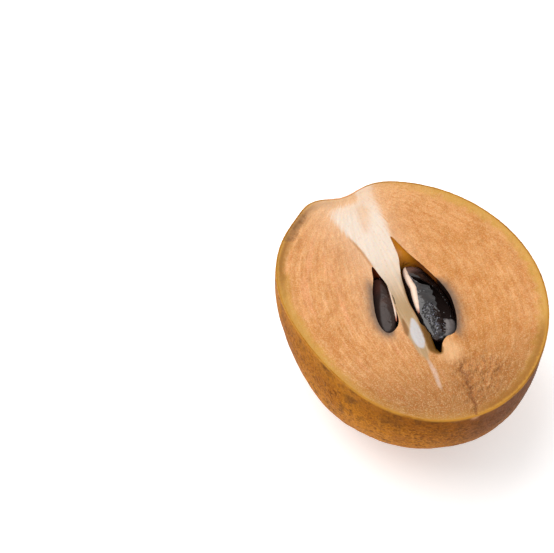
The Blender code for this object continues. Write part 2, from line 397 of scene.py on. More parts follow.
ROUGH_PLACE = (
    (1.2, -23.0), (4.2, -22.0), (7.4, -22.4), (11.6, -22.5), (13.7, -26.0), (9.0, -32.1),
    (3.4, -35.9), (0.3, -35.7), (0.0, -31.2), (-0.3, -25.3),
)
TORN_SHOULDER = (
    (-26.5, 26.0), (-23.5, 29.5), (-19.0, 33.0), (-16.5, 32.0), (-19.5, 28.5), (-23.0, 24.5),
)
STEM_PLACE = (-4.1, 38.2)
TIP_PLACE = (-4.6, -41.0)
NICK_PLACE = (0.2, -40.6)

SKIN_THICKNESS = 0.38 * MM
SKIN_CLEARANCE = 0.04 * MM


# Node trees written as expressions


class Socket:
    """One output of a node, with the bench that it stands on."""

    def __init__(self, bench: "Bench", port: bpy.types.NodeSocket) -> None:
        """Keep the bench and the output."""
        self.bench = bench
        self.port = port


class Number(Socket):
    """A number that changes over a surface. Arithmetic on it adds Math nodes."""

    def __add__(self, other: "Term") -> "Number":
        """Add."""
        return self.bench.math("ADD", self, other)

    __radd__ = __add__

    def __sub__(self, other: "Term") -> "Number":
        """Take away."""
        return self.bench.math("SUBTRACT", self, other)

    def __rsub__(self, other: "Term") -> "Number":
        """Take this away from a number."""
        return self.bench.math("SUBTRACT", other, self)

    def __mul__(self, other: "Term") -> "Number":
        """Multiply."""
        return self.bench.math("MULTIPLY", self, other)

    __rmul__ = __mul__

    def __truediv__(self, other: "Term") -> "Number":
        """Divide."""
        return self.bench.math("DIVIDE", self, other)

    def __rtruediv__(self, other: "Term") -> "Number":
        """Divide a number by this."""
        return self.bench.math("DIVIDE", other, self)

    def __pow__(self, other: "Term") -> "Number":
        """Raise to a power."""
        return self.bench.math("POWER", self, other)

    def __neg__(self) -> "Number":
        """Change sign."""
        return self.bench.math("MULTIPLY", self, -1.0)

    def eased(self, low: float, high: float) -> "Number":
        """Rise smoothly from 0 at low to 1 at high.

        Args:
            low: Value that gives 0.
            high: Value that gives 1; it may be the smaller one.

        Returns:
            The eased number.
        """
        flip = low > high
        rising = self.bench.add("ShaderNodeMapRange", {"interpolation_type": "SMOOTHSTEP"}, {
            "Value": self, "From Min": min(low, high), "From Max": max(low, high),
            "To Min": 1.0 if flip else 0.0, "To Max": 0.0 if flip else 1.0})
        return Number(self.bench, rising.port)


class Arrow(Socket):
    """A vector. Arithmetic on it adds Vector Math nodes."""

    def __add__(self, other: "Arrow") -> "Arrow":
        """Add."""
        return self.bench.vector_math("ADD", self, other)

    def __sub__(self, other: "Arrow") -> "Arrow":
        """Take away."""
        return self.bench.vector_math("SUBTRACT", self, other)

    def __mul__(self, other: Union["Arrow", Tuple[float, float, float]]) -> "Arrow":
        """Multiply each part."""
        return self.bench.vector_math("MULTIPLY", self, other)

    def scaled(self, factor: "Term") -> "Arrow":
        """The same direction at another length."""
        return self.bench.add("ShaderNodeVectorMath", {"operation": "SCALE"},
                              {"Vector": self, "Scale": factor})

    def parts(self) -> Tuple[Number, Number, Number]:
        """The three parts as numbers."""
        return tuple(self.bench.add("ShaderNodeSeparateXYZ", {}, {"Vector": self}, out=name)
                     for name in "XYZ")


class Paint(Socket):
    """A colour that changes over a surface."""

    def mixed(self, other: Union["Paint", Tint], share: "Term", blend: str = "MIX") -> "Paint":
        """Blend another colour over this one.

        Args:
            other: The other colour.
            share: How much of it shows, 0 to 1.
            blend: Name of the blend.

        Returns:
            The blended colour.
        """
        return self.bench.blend(self, other, share, blend)

    def layered(self, *layers: Tuple[Union["Paint", Tint], "Term"]) -> "Paint":
        """Blend several colours over this one, in their order.

        Args:
            layers: Each colour with how much of it shows, 0 to 1.

        Returns:
            The blended colour.
        """
        colour = self
        for other, share in layers:
            colour = colour.mixed(other, share)
        return colour


class Form(Socket):
    """Geometry on its way through a tree."""


Term = Union[Number, float, int]
KINDS = {"VALUE": Number, "INT": Number, "BOOLEAN": Number, "VECTOR": Arrow, "ROTATION": Arrow,
         "RGBA": Paint, "GEOMETRY": Form}


class Bench:
    """Builds the nodes of one tree, for a material or for geometry."""

    def __init__(self, tree: bpy.types.NodeTree) -> None:
        """Keep the tree."""
        self.tree = tree

    def add(self, kind: str, settings: Optional[Mapping[str, object]] = None,
            links: Optional[Mapping[str, object]] = None, out: Union[str, int] = 0) -> Socket:
        """Add a node, set it, and join its inputs.

        Args:
            kind: The node's type.
            settings: Its own settings, which are set first.
            links: Values or sockets for its inputs, by name.
            out: Name or number of the output to give back.

        Returns:
            The chosen output, as a number, vector, colour or geometry.
        """
        node = self.tree.nodes.new(kind)
        for name, value in (settings or {}).items():
            setattr(node, name, value)
        for name, value in (links or {}).items():
            port = next(p for p in node.inputs if p.name == name and p.enabled)
            self.join(port, value)
        ports = [p for p in node.outputs if p.enabled]
        port = ports[out] if isinstance(out, int) else next(p for p in ports if p.name == out)
        return KINDS.get(port.type, Socket)(self, port)

    def join(self, port: bpy.types.NodeSocket, value: object) -> None:
        """Link an input to a socket, or set its value.

        Args:
            port: The input.
            value: A socket, or the value.
        """
        if isinstance(value, Socket):
            self.tree.links.new(value.port, port)
        else:
            port.default_value = value

    def blend(self, first: Union[Paint, Tint], second: Union[Paint, Tint], share: Term,
              kind: str = "MIX") -> Paint:
        """Add one Mix node on two colours.

        Args:
            first: Colour where the share is 0.
            second: Colour where it is 1.
            share: How much of the second shows.
            kind: Name of the blend.

        Returns:
            The blended colour.
        """
        return self.add("ShaderNodeMix", {"data_type": "RGBA", "blend_type": kind},
                        {"Factor": share, "A": first, "B": second}, out="Result")

    def math(self, operation: str, first: Term, second: Term = 0.0, third: Term = 0.0) -> Number:
        """Add one Math node.

        Args:
            operation: Its operation.
            first: First term.
            second: Second term.
            third: Third term, where the operation has one.

        Returns:
            The result.
        """
        node = self.tree.nodes.new("ShaderNodeMath")
        node.operation = operation
        for port, value in zip(node.inputs, (first, second, third)):
            self.join(port, value)
        return Number(self, node.outputs[0])

    def vector_math(self, operation: str, first: object, second: object) -> Arrow:
        """Add one Vector Math node on two vectors.

        Args:
            operation: Its operation.
            first: First vector.
            second: Second vector.

        Returns:
            The result.
        """
        node = self.tree.nodes.new("ShaderNodeVectorMath")
        node.operation = operation
        for port, value in zip(node.inputs, (first, second)):
            self.join(port, value)
        return Arrow(self, node.outputs[0])

    def arrow(self, x: Term, y: Term, z: Term) -> Arrow:
        """Make a vector of three numbers."""
        return self.add("ShaderNodeCombineXYZ", {}, {"X": x, "Y": y, "Z": z})

    def noise(self, at: Arrow, size: float, detail: float = 2.0, rough: float = 0.5) -> Number:
        """Soft noise, from about 0 to 1.

        Args:
            at: Where it is read.
            size: Width of its largest lumps, in the units of at.
            detail: How many finer layers it has.
            rough: How strong those are.

        Returns:
            The noise.
        """
        return self.add("ShaderNodeTexNoise", {}, {
            "Vector": at, "Scale": 1.0 / size, "Detail": detail, "Roughness": rough})

    def cells(self, at: Arrow, size: float) -> Number:
        """Distance to the nearest of scattered points, 0 at a point."""
        return self.add("ShaderNodeTexVoronoi", {}, {"Vector": at, "Scale": 1.0 / size})


class ShaderBench(Bench):
    """Builds one material round a Principled shader."""

    def __init__(self, name: str) -> None:
        """Start a material with an empty Principled shader.

        Args:
            name: The material's name.
        """
        self.material = bpy.data.materials.new(name)
        self.material.use_nodes = True
        super().__init__(self.material.node_tree)
        self.shader = self.tree.nodes["Principled BSDF"]

    def place(self) -> Arrow:
        """The place on the piece, in metres."""
        return self.add("ShaderNodeTexCoord", {}, {}, out="Object")

    def mark(self, name: str) -> Number:
        """A number that the mesh carries at its points."""
        return self.add("ShaderNodeAttribute", {"attribute_name": name}, {}, out="Fac")

    def mark_arrow(self, name: str) -> Arrow:
        """A vector that the mesh carries at its points."""
        return self.add("ShaderNodeAttribute", {"attribute_name": name}, {}, out="Vector")

    def feed(self, **inputs: object) -> None:
        """Set or join the shader's own inputs, with spaces in their names as underscores."""
        for name, value in inputs.items():
            self.join(self.shader.inputs[name.replace("_", " ")], value)

    def bump(self, height: Number, depth: float) -> None:
        """Feed the shader's normal with a relief of a number.

        Args:
            height: The relief, about 0 to 1.
            depth: What 1 stands for, in metres.
        """
        normal = self.add("ShaderNodeBump", {}, {"Height": height, "Distance": depth})
        self.join(self.shader.inputs["Normal"], normal)


class GeometryBench(Bench):
    """Builds one Geometry Nodes tree, with named inputs."""

    def __init__(self, name: str, sizes: Mapping[str, float]) -> None:
        """Start a tree with a geometry input and one number for each size.

        Args:
            name: The tree's name.
            sizes: The inputs' names and values.
        """
        tree = bpy.data.node_groups.new(name, "GeometryNodeTree")
        super().__init__(tree)
        tree.interface.new_socket("Geometry", in_out="INPUT", socket_type="NodeSocketGeometry")
        tree.interface.new_socket("Geometry", in_out="OUTPUT", socket_type="NodeSocketGeometry")
        self.sizes = dict(sizes)
        self.identifiers = {}
        for size in sizes:
            made = tree.interface.new_socket(size, in_out="INPUT", socket_type="NodeSocketFloat")
            self.identifiers[size] = made.identifier
        self.entry = tree.nodes.new("NodeGroupInput")

    def given(self, name: str) -> Socket:
        """One of the tree's own inputs."""
        port = self.entry.outputs[name]
        return KINDS.get(port.type, Socket)(self, port)

    def named(self, name: str) -> Number:
        """A number that the mesh carries at its points."""
        return self.add("GeometryNodeInputNamedAttribute", {"data_type": "FLOAT"}, {"Name": name})

    def random(self, low: float, high: float, seed: int) -> Number:
        """A random number for each point or instance."""
        return self.add("FunctionNodeRandomValue", {"data_type": "FLOAT"},
                        {"Min": low, "Max": high, "Seed": seed})

    def scattered(self, density: Number, scale: Arrow, seed: int) -> Form:
        """Strew small faceted bits over the tree's own geometry.

        Args:
            density: How many for each square metre.
            scale: Their sizes.
            seed: Number that their places follow from.

        Returns:
            The bits.
        """
        points = self.add("GeometryNodeDistributePointsOnFaces", {}, {
            "Mesh": self.given("Geometry"), "Density": density, "Seed": seed}, out="Points")
        bit = self.add("GeometryNodeMeshIcoSphere", {}, {"Radius": 1.0, "Subdivisions": 1})
        turn = self.add("FunctionNodeRandomValue", {"data_type": "FLOAT_VECTOR"}, {
            "Min": (0.0, 0.0, 0.0), "Max": (2.0 * math.pi,) * 3, "Seed": seed + 1})
        return self.add("GeometryNodeInstanceOnPoints", {}, {
            "Points": points, "Instance": bit, "Rotation": turn, "Scale": scale})

    def finish(self, form: Form, material: bpy.types.Material) -> None:
        """End the tree: make its copies real, set their material and hand them out.

        Args:
            form: What the tree has made.
            material: The material.
        """
        real = self.add("GeometryNodeRealizeInstances", {}, {"Geometry": form})
        dressed = self.add("GeometryNodeSetMaterial", {}, {"Geometry": real, "Material": material})
        leave = self.tree.nodes.new("NodeGroupOutput")
        self.join(leave.inputs["Geometry"], dressed)

    def run(self, item: bpy.types.Object) -> bpy.types.Object:
        """Run the tree on an object and keep the result as its plain mesh.

        Args:
            item: The object; its own mesh is the tree's Geometry.

        Returns:
            The same object.
        """
        modifier = item.modifiers.new(self.tree.name, "NODES")
        modifier.node_group = self.tree
        for name, identifier in self.identifiers.items():
            modifier[identifier] = float(self.sizes[name])
        return settle_modifiers(item)


# Meshes


def settle_modifiers(item: bpy.types.Object) -> bpy.types.Object:
    """Turn what an object's modifiers give into its plain mesh.

    Args:
        item: The object.

    Returns:
        The same object, with no modifiers.
    """
    bpy.context.view_layer.update()
    graph = bpy.context.evaluated_depsgraph_get()
    result = bpy.data.meshes.new_from_object(item.evaluated_get(graph))
    item.modifiers.clear()
    item.data = result
    return item


def new_object(name: str, mesh: bpy.types.Mesh) -> bpy.types.Object:
    """Put a mesh into the scene under a name.

    Args:
        name: The object's name.
        mesh: Its mesh.

    Returns:
        The object.
    """
    item = bpy.data.objects.new(name, mesh)
    bpy.context.scene.collection.objects.link(item)
    return item


def mesh_from(name: str, points: np.ndarray, faces: Sequence[Sequence[int]]) -> bpy.types.Object:
    """Make an object of points and faces, with its faces turned out.

    Args:
        name: The object's name.
        points: Points, one in each row, in the frame.
        faces: Corners of each face.

    Returns:
        The object.
    """
    mesh = bpy.data.meshes.new(name)
    mesh.from_pydata([tuple(p) for p in points], [], [tuple(f) for f in faces])
    turn_out(mesh)
    return new_object(name, mesh)


def turn_out(mesh: bpy.types.Mesh) -> None:
    """Turn the faces of a closed mesh outwards.

    Args:
        mesh: The mesh.
    """
    work = bmesh.new()
    work.from_mesh(mesh)
    bmesh.ops.recalc_face_normals(work, faces=work.faces)
    work.to_mesh(mesh)
    work.free()


def loft_faces(rings: int, count: int, start: int = 0) -> List[Tuple[int, int, int, int]]:
    """Faces between rings of points that follow each other.

    Args:
        rings: How many rings there are.
        count: Points in each.
        start: Number of the first point.

    Returns:
        The corners of each face.
    """
    faces = []
    for row in range(rings - 1):
        low, high = start + row * count, start + (row + 1) * count
        for side in range(count):
            after = (side + 1) % count
            faces.append((low + side, low + after, high + after, high + side))
    return faces


def capped_faces(rings: int, count: int) -> List[Tuple[int, ...]]:
    """Faces of rings that are closed by a point at each end; the two points come last.

    Args:
        rings: How many rings there are.
        count: Points in each.

    Returns:
        The corners of each face.
    """
    faces: List[Tuple[int, ...]] = list(loft_faces(rings, count))
    low, high, last = rings * count, rings * count + 1, (rings - 1) * count
    for side in range(count):
        after = (side + 1) % count
        faces.append((low, after, side))
        faces.append((high, last + side, last + after))
    return faces


def mark_points(item: bpy.types.Object, name: str, values: np.ndarray) -> None:
    """Store a number for each point of a mesh.

    Args:
        item: The object.
        name: What the numbers are called.
        values: One number, or one vector, for each point.
    """
    vector = values.ndim == 2
    layer = item.data.attributes.new(name, "FLOAT_VECTOR" if vector else "FLOAT", "POINT")
    layer.data.foreach_set("vector" if vector else "value",
                           np.ascontiguousarray(values, np.float32).ravel())


def mark_faces(item: bpy.types.Object, name: str, value: float) -> None:
    """Store one number for every face of a mesh."""
    layer = item.data.attributes.new(name, "FLOAT", "FACE")
    layer.data.foreach_set("value", np.full(len(item.data.polygons), value, np.float32))


def points_of(item: bpy.types.Object) -> np.ndarray:
    """Read the points of an object's mesh.

    Args:
        item: The object.

    Returns:
        The points, one in each row.
    """
    found = np.zeros(len(item.data.vertices) * 3, np.float32)
    item.data.vertices.foreach_get("co", found)
    return found.reshape(-1, 3).astype(float)


def shade(item: bpy.types.Object, sharp: float) -> None:
    """Shade an object smooth, with sharp edges above an angle."""
    item.data.shade_smooth()
    item.data.set_sharp_from_angle(angle=sharp)


def cut_with(item: bpy.types.Object, cutter: bpy.types.Object) -> None:
    """Cut one closed object out of another and remove the cutter.

    Args:
        item: The object that is cut.
        cutter: What is cut out of it.
    """
    modifier = item.modifiers.new("cut", "BOOLEAN")
    modifier.operation = "DIFFERENCE"
    modifier.solver = "EXACT"
    modifier.object = cutter
    settle_modifiers(item)
    bpy.data.objects.remove(cutter, do_unlink=True)


def settle(item: bpy.types.Object, node: str) -> bpy.types.Object:
    """Hand a finished piece to the frame.

    Args:
        item: The piece.
        node: The solid that it stands for.

    Returns:
        The same piece.
    """
    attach(item, "root")
    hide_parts(node)
    LOG.info("%s: %d faces, stands for %s", item.name, len(item.data.polygons), node)
    return item


# Finishes


@dataclass(frozen=True)
class FleshFinish:
    """Moist grainy flesh with a pale core, fibres along the meridians and stained chambers, with
    painted shade towards the tip and deep in the chambers.
    """

    tan: Tint = tint(197, 132, 67)
    peach: Tint = tint(216, 154, 94)
    pink: Tint = tint(226, 154, 108)
    pale_top: Tint = tint(230, 174, 117)
    grain_dark: Tint = tint(182, 108, 48)
    grain_light: Tint = tint(240, 192, 142)
    tip_painted_shade: Tint = tint(190, 186, 166)
    rim_olive: Tint = tint(200, 154, 70)
    under_skin: Tint = tint(196, 141, 56)
    browned: Tint = tint(152, 99, 37)
    core: Tint = tint(226, 209, 192)
    core_warm: Tint = tint(230, 192, 158)
    core_low: Tint = tint(174, 143, 104)
    pith: Tint = tint(198, 192, 190)
    streak: Tint = tint(218, 190, 172)
    strip: Tint = tint(136, 90, 46)
    seam: Tint = tint(178, 122, 72)
    mustard: Tint = tint(116, 76, 20)
    stain: Tint = tint(104, 90, 80)
    caramel: Tint = tint(112, 56, 3)
    amber: Tint = tint(190, 122, 30)
    rust: Tint = tint(96, 40, 16)
    # Painted shade: black for the depths of the chambers and the gaps round the seeds
    hollow: Tint = tint(26, 14, 10)
    crack: Tint = tint(130, 78, 40)
    speck: Tint = tint(172, 96, 44)
    torn: Tint = tint(152, 110, 72)
    patch_size: float = 3.2 * MM
    grain_size: float = 0.85 * MM
    fine_size: float = 0.32 * MM
    bump_depth: float = 0.18 * MM
    light_reach: float = 0.8 * MM

    def build(self) -> bpy.types.Material:
        """Build the material.

        Returns:
            The material.
        """
        bench = ShaderBench("flesh")
        place = bench.place()
        fibre = bench.mark_arrow("fibre")
        patch = bench.noise(place, self.patch_size, 3.0, 0.6)
        grain = bench.noise(place, self.grain_size, 3.0, 0.65)
        fine = bench.noise(place, self.fine_size, 2.0, 0.6)
        threads = bench.noise(fibre * (1.0, 0.07, 0.0), 0.9, 4.0, 0.6)

        colour = self.ground(bench, place, patch, threads)
        drawn = bench.noise(fibre * (1.0, 0.30, 0.0), 0.9, 3.0, 0.6)
        rim = bench.mark("rim")
        band = (rim + (patch - 0.5) * 5.0).eased(3.6, 0.8) * bench.mark("olive")
        browned = (rim + (patch - 0.5) * 2.5).eased(3.0, 0.9) * bench.mark("edge")
        by_skin = (rim + (grain - 0.5) * 1.2).eased(0.8, 0.1)
        colour = colour.layered(
            (self.grain_dark, drawn.eased(0.48, 0.70) * 0.48),
            (self.grain_light, drawn.eased(0.50, 0.30) * 0.25),
            (self.grain_dark, fine.eased(0.46, 0.66) * 0.38),
            (self.grain_light, fine.eased(0.50, 0.34) * 0.35),
            (self.rim_olive, band * 0.75),
            (self.browned, browned * 0.85),
            (self.grain_light, bench.mark("pale") * 0.55),
            (self.under_skin, by_skin * (0.45 + bench.mark("edge") * 0.4)),
            (self.core_warm, bench.mark("glow") * (0.40 + threads * 0.6)))

        core = bench.mark("core")
        edge = (core + (threads - 0.5) * 0.7).eased(0.26, 0.70) * (1.0 - bench.mark("island") * 0.6)
        colour = colour.mixed(self.core_colour(bench, place, fibre), edge)
        colour = self.spotted(bench, colour, place, fibre, (patch, grain, fine))

        wall = bench.mark("wall")
        colour = colour.mixed(self.lining(bench, patch), wall)
        colour = colour.mixed(self.mustard, bench.mark("mustard") * (0.75 + grain * 0.4))
        wet = (0.46 + grain * 0.16) * (1.0 - wall) + 0.30 * wall
        relief = grain * 0.55 + fine * 0.3 + threads * 0.35
        relief = relief * (1.0 - core * 0.6) * (1.0 - wall * 0.8)
        bench.feed(Base_Color=colour, Roughness=wet, Subsurface_Weight=0.12,
                   Subsurface_Radius=(1.0, 0.45, 0.2), Subsurface_Scale=self.light_reach,
                   Specular_IOR_Level=0.16)
        bench.bump(relief, self.bump_depth)
        return bench.material

    def ground(self, bench: ShaderBench, place: Arrow, patch: Number, threads: Number) -> Paint:
        """Colour of the flesh round the core: tan and peach, drawn out in fibres, with painted
        shade darker towards the tip.

        Args:
            bench: The material's bench.
            place: Place on the piece.
            patch: Noise of a few millimetres.
            threads: Noise drawn out along the fibres.

        Returns:
            The colour.
        """
        broad = bench.noise(place, 9.0 * MM, 2.0, 0.5)
        wisps = bench.noise(bench.mark_arrow("fibre") * (1.0, 0.12, 0.0), 2.6, 3.0, 0.55)
        drawn = bench.mark("threads")
        hairs = bench.noise(bench.mark_arrow("fibre") * (1.0, 0.05, 0.0), 0.45, 2.0, 0.5)
        along = place.parts()[1]
        blotches = (broad * 0.6 + patch * 0.4).eased(0.36, 0.64)
        colour = bench.blend(self.tan, self.peach, blotches).layered(
            (self.grain_light, threads.eased(0.52, 0.74) * 0.30 * drawn),
            (self.grain_light, hairs.eased(0.54, 0.72) * 0.45 * drawn),
            (self.grain_dark, wisps.eased(0.50, 0.70) * 0.35 * drawn),
            (self.pink, wisps.eased(0.48, 0.32) * 0.55 * drawn),
            (self.pale_top, along.eased(25.0 * MM, 36.0 * MM) * 0.6))
        # Painted shade: the flesh darkens towards the tip, where less light falls
        return colour.mixed(self.tip_painted_shade, along.eased(-8.0 * MM, -36.0 * MM), "MULTIPLY")

    def core_colour(self, bench: ShaderBench, place: Arrow, fibre: Arrow) -> Paint:
        """Colour of the core: whitest under the stem, duller between the chambers.

        Args:
            bench: The material's bench.
            place: Place on the piece.
            fibre: Place across and along the meridians.

        Returns:
            The colour.
        """
        along = place.parts()[1]
        veins = bench.noise(fibre * (1.0, 0.05, 0.0), 1.1, 3.0, 0.55)
        colour = bench.blend(self.core, self.core_low, along.eased(16.0 * MM, -3.0 * MM))
        return colour.layered(
            (self.core_warm, along.eased(27.0 * MM, 36.0 * MM) * 0.6),
            (self.core_warm, veins.eased(0.50, 0.68) * 0.35),
            (self.pith, bench.mark("pith")))

    def spotted(self, bench: ShaderBench, colour: Paint, place: Arrow, fibre: Arrow,
                noises: Tuple[Number, Number, Number]) -> Paint:
        """Lay the stains, specks, cracks and torn places over the flesh.

        Args:
            bench: The material's bench.
            colour: The flesh.
            place: Place on the piece.
            fibre: Place across and along the meridians.
            noises: Noise of a few millimetres, of about a millimetre, and finer.

        Returns:
            The flesh with its spots.
        """
        patch, grain, fine = noises
        rough = bench.mark("rough")
        vein = bench.noise(fibre * (1.0, 0.30, 0.0), 1.6, 3.0, 0.6)
        ridge = bench.math("ABSOLUTE", vein - 0.5).eased(0.05, 0.0)
        speck = bench.cells(place, 1.3 * MM).eased(0.26, 0.12)
        split = bench.mark("crack") * (fine * 0.6 + grain * 0.9)
        streak = (bench.mark("streak") * (0.3 + grain)).eased(0.1, 1.1)
        ragged = bench.mark("shoulder") * (fine * 0.7 + grain * 0.6)
        rays = bench.noise(bench.mark_arrow("rays"), 1.0, 2.0, 0.6)
        stain = bench.mark("stain") * (0.55 + rays * 0.5 + patch * 0.5)
        return colour.layered(
            (self.crack, ridge * rough * 0.65),
            (self.speck, speck * (0.12 + rough * 0.6)),
            (self.crack, split.eased(0.35, 0.85) * 0.75),
            (self.strip, bench.mark("strip") * 0.85),
            (self.seam, bench.mark("seam") * 0.7),
            (self.streak, streak * 0.75),
            (self.torn, ragged.eased(0.40, 0.75) * 0.7),
            (self.stain, stain.eased(0.05, 1.0) * 0.85))

    def lining(self, bench: ShaderBench, patch: Number) -> Paint:
        """Colour of the chambers' walls: amber by the stem, rusty in the left one, and black
        painted shade low down.

        Args:
            bench: The material's bench.
            patch: Noise of a few millimetres.

        Returns:
            The colour.
        """
        # Painted shade: the walls turn black low down and round the seeds
        dark = (bench.mark("deep") + (patch - 0.5) * 0.3).eased(0.2, 0.75)
        return bench.blend(self.caramel, self.amber, bench.mark("amber")).layered(
            (self.rust, bench.mark("rust")), (self.hollow, dark))


@dataclass(frozen=True)
class SkinFinish:
    """Thin matt golden-brown skin, mottled with darker spots, deeper brown by the cut, with a
    painted lilac sheen on one side and painted light low down.
    """

    golden: Tint = tint(178, 110, 20)
    brown: Tint = tint(140, 78, 10)
    shade: Tint = tint(92, 52, 12)
    glow: Tint = tint(206, 134, 44)
    below_rim: Tint = tint(170, 106, 22)
    dark_below_rim: Tint = tint(136, 75, 2)
    lilac_sheen: Tint = tint(106, 66, 48)
    pore: Tint = tint(84, 50, 18)
    cork: Tint = tint(128, 88, 52)
    nick: Tint = tint(196, 142, 100)
    cut_edge: Tint = tint(186, 129, 48)
    fresh_edge: Tint = tint(222, 154, 102)
    sheen_direction: float = -66.0 * DEGREE
    dark_direction: float = -100.0 * DEGREE
    broad_size: float = 14.0 * MM
    mottle_size: float = 4.2 * MM
    fine_size: float = 1.1 * MM
    grit_size: float = 0.55 * MM
    speck_size: float = 1.5 * MM
    bump_depth: float = 0.26 * MM
    light_reach: float = 0.8 * MM

    def build(self) -> bpy.types.Material:
        """Build the material.

        Returns:
            The material.
        """
        bench = ShaderBench("skin")
        place = bench.place()
        broad = bench.noise(place, self.broad_size, 3.0, 0.55)
        mottle = bench.noise(place, self.mottle_size, 4.0, 0.62)
        fine = bench.noise(place, self.fine_size, 3.0, 0.65)
        grit = bench.noise(place, self.grit_size, 3.0, 0.7)
        speck = bench.cells(place, self.speck_size)
        x, y, height = place.parts()
        colour = bench.blend(self.brown, self.golden,
                             (broad * 0.55 + mottle * 0.45).eased(0.38, 0.62))
        turn = bench.math("ARCTAN2", y, x)
        # Painted sheen: a patchy lilac patch on one side, where the skin catches a grazing
        # reflection
        sheen_patch, front = (
            bench.math("ABSOLUTE", bench.math("WRAP", turn - direction, math.pi, -math.pi)).eased(
                wide * DEGREE, narrow * DEGREE)
            for direction, wide, narrow in ((self.sheen_direction, 58.0, 6.0),
                                            (self.dark_direction, 48.0, 12.0)))
        below = bench.blend(self.below_rim, self.dark_below_rim, front)
        uneven = (mottle - 0.5) * 6.0 * MM + (broad - 0.5) * 8.0 * MM
        near = (height + uneven).eased(HALF.cut_height - 8.0 * MM, HALF.cut_height - 2.0 * MM)
        sheen_patch = (sheen_patch + broad * 1.4 + mottle * 0.5 - 1.05).eased(0.0, 1.0)
        bright = grit.eased(0.48, 0.36) * (0.40 - sheen_patch * 0.30) * (1.0 - near * 0.7)
        colour = colour.layered(
            (below, near * 0.85),
            # painted sheen on one side
            (self.lilac_sheen, sheen_patch * 0.85),
            # Painted light: the skin is lightened towards the bottom
            (self.glow, height.eased(26.0 * MM, 17.0 * MM) * 0.30),
            (self.shade, mottle.eased(0.53, 0.68) * 0.65),
            (self.shade, near * mottle.eased(0.44, 0.60) * 0.38),
            (self.shade, fine.eased(0.50, 0.64) * (0.50 - near * 0.25)),
            (self.shade, grit.eased(0.50, 0.62) * (0.45 - near * 0.20)),
            (self.glow, bright),
            (self.pore, (speck + (fine - 0.5) * 0.5).eased(0.20, 0.08) * 0.5),
            (self.pore, fine.eased(0.60, 0.74) * 0.4))
        for spot, reach in ((STEM_PLACE, 6.0 * MM), (TIP_PLACE, 2.5 * MM), (NICK_PLACE, 2.2 * MM)):
            away = place - bench.arrow(spot[0] * MM + OFFSET[0], spot[1] * MM + OFFSET[1],
                                       HALF.cut_height)
            distance = bench.add("ShaderNodeVectorMath", {"operation": "LENGTH"}, {"Vector": away},
                                 out="Value")
            kind = self.nick if spot is NICK_PLACE else self.cork
            colour = colour.mixed(
                kind, (distance + (mottle - 0.5) * reach).eased(reach, 0.4 * reach))
        stem_side = y.eased(32.0 * MM, 34.5 * MM) * x.eased(1.0 * MM, -1.0 * MM) * x.eased(
            -12.0 * MM, -9.0 * MM)
        torn_in = (height + (mottle - 0.5) * 6.0 * MM).eased(
            HALF.cut_height - 2.6 * MM, HALF.cut_height - 0.8 * MM)
        colour = colour.mixed(self.fresh_edge, stem_side * torn_in * 0.7)
        edge = bench.blend(self.cut_edge, self.fresh_edge, stem_side)
        dusky = broad.eased(0.50, 0.60) * (1.0 - stem_side)
        colour = colour.mixed(edge, bench.mark("cut_edge") * (1.0 - dusky * 0.6))
        bench.feed(Base_Color=colour, Roughness=0.52 + fine * 0.20, Subsurface_Weight=0.05,
                   Subsurface_Radius=(1.0, 0.4, 0.15), Subsurface_Scale=self.light_reach,
                   Specular_IOR_Level=0.05)
        bench.bump(fine * 0.6 + speck * 0.4, self.bump_depth)
        return bench.material


@dataclass(frozen=True)
class CoatFinish:
    """Glossy black seed coat with faint brown clouds, and matt black painted shade inside the break
    and on unlit parts.
    """

    black: Tint = tint(24, 20, 20)
    brown: Tint = tint(54, 34, 26)
    # Painted shade: matt dark for the inside of the break and the unlit flank
    inside: Tint = tint(34, 18, 12)
    crumb: Tint = tint(50, 46, 50)
    grey: Tint = tint(122, 114, 112)
    mauve: Tint = tint(104, 78, 74)
    glint: Tint = tint(164, 166, 190)
    rust: Tint = tint(62, 26, 14)
    sheen: float = 1.0
    cloud_size: float = 3.5 * MM
    fine_size: float = 0.5 * MM
    bump_depth: float = 0.10 * MM

    def build(self) -> bpy.types.Material:
        """Build the material.

        Returns:
            The material.
        """
        bench = ShaderBench("seed_coat")
        place = bench.place()
        cloud = bench.noise(place, self.cloud_size, 3.0, 0.6)
        fine = bench.noise(place, self.fine_size, 3.0, 0.6)
        inner, crumble, unlit = (bench.mark(name) for name in ("inner", "crumble", "unlit"))
        # Painted shade: unlit parts take the matt inside colour, like the break
        inner = bench.math("MAXIMUM", inner, unlit)
        colour = bench.blend(self.black, self.brown, cloud.eased(0.45, 0.75)).layered(
            (self.crumb, crumble * fine.eased(0.40, 0.62)),
            (self.glint, crumble * fine.eased(0.59, 0.67) * 0.8),
            (self.grey, bench.mark("grey")),
            (self.mauve, bench.mark("mauve")),
            (self.inside, inner),
            (self.rust, bench.mark("rust")))
        gloss = 0.16 + cloud * 0.16 + crumble * 0.22
        bench.feed(Base_Color=colour, Roughness=gloss * (1.0 - inner) + inner * 0.85,
                   Coat_Weight=(1.0 - inner) * self.sheen, Coat_Roughness=0.10,
                   Specular_IOR_Level=0.25)
        bench.bump(cloud * 0.6 + fine * (0.25 + crumble * 1.2), self.bump_depth)
        return bench.material


@dataclass(frozen=True)
class HilumFinish:
    """Smooth cream scar, browned at its lower end."""

    cream: Tint = tint(238, 209, 187)
    blush: Tint = tint(200, 150, 118)
    red_end: Tint = tint(168, 92, 66)

    def build(self) -> bpy.types.Material:
        """Build the material.

        Returns:
            The material.
        """
        bench = ShaderBench("hilum")
        place = bench.place()
        cloud = bench.noise(place * (1.0, 0.35, 1.0), 0.8 * MM, 3.0, 0.6)
        colour = bench.blend(self.cream, self.blush, cloud.eased(0.5, 0.8) * 0.6)
        colour = colour.mixed(self.red_end, bench.mark("low_end"))
        bench.feed(Base_Color=colour, Roughness=0.42, Subsurface_Weight=0.12,
                   Subsurface_Radius=(1.0, 0.6, 0.4), Subsurface_Scale=0.5 * MM)
        bench.bump(cloud, 0.05 * MM)
        return bench.material


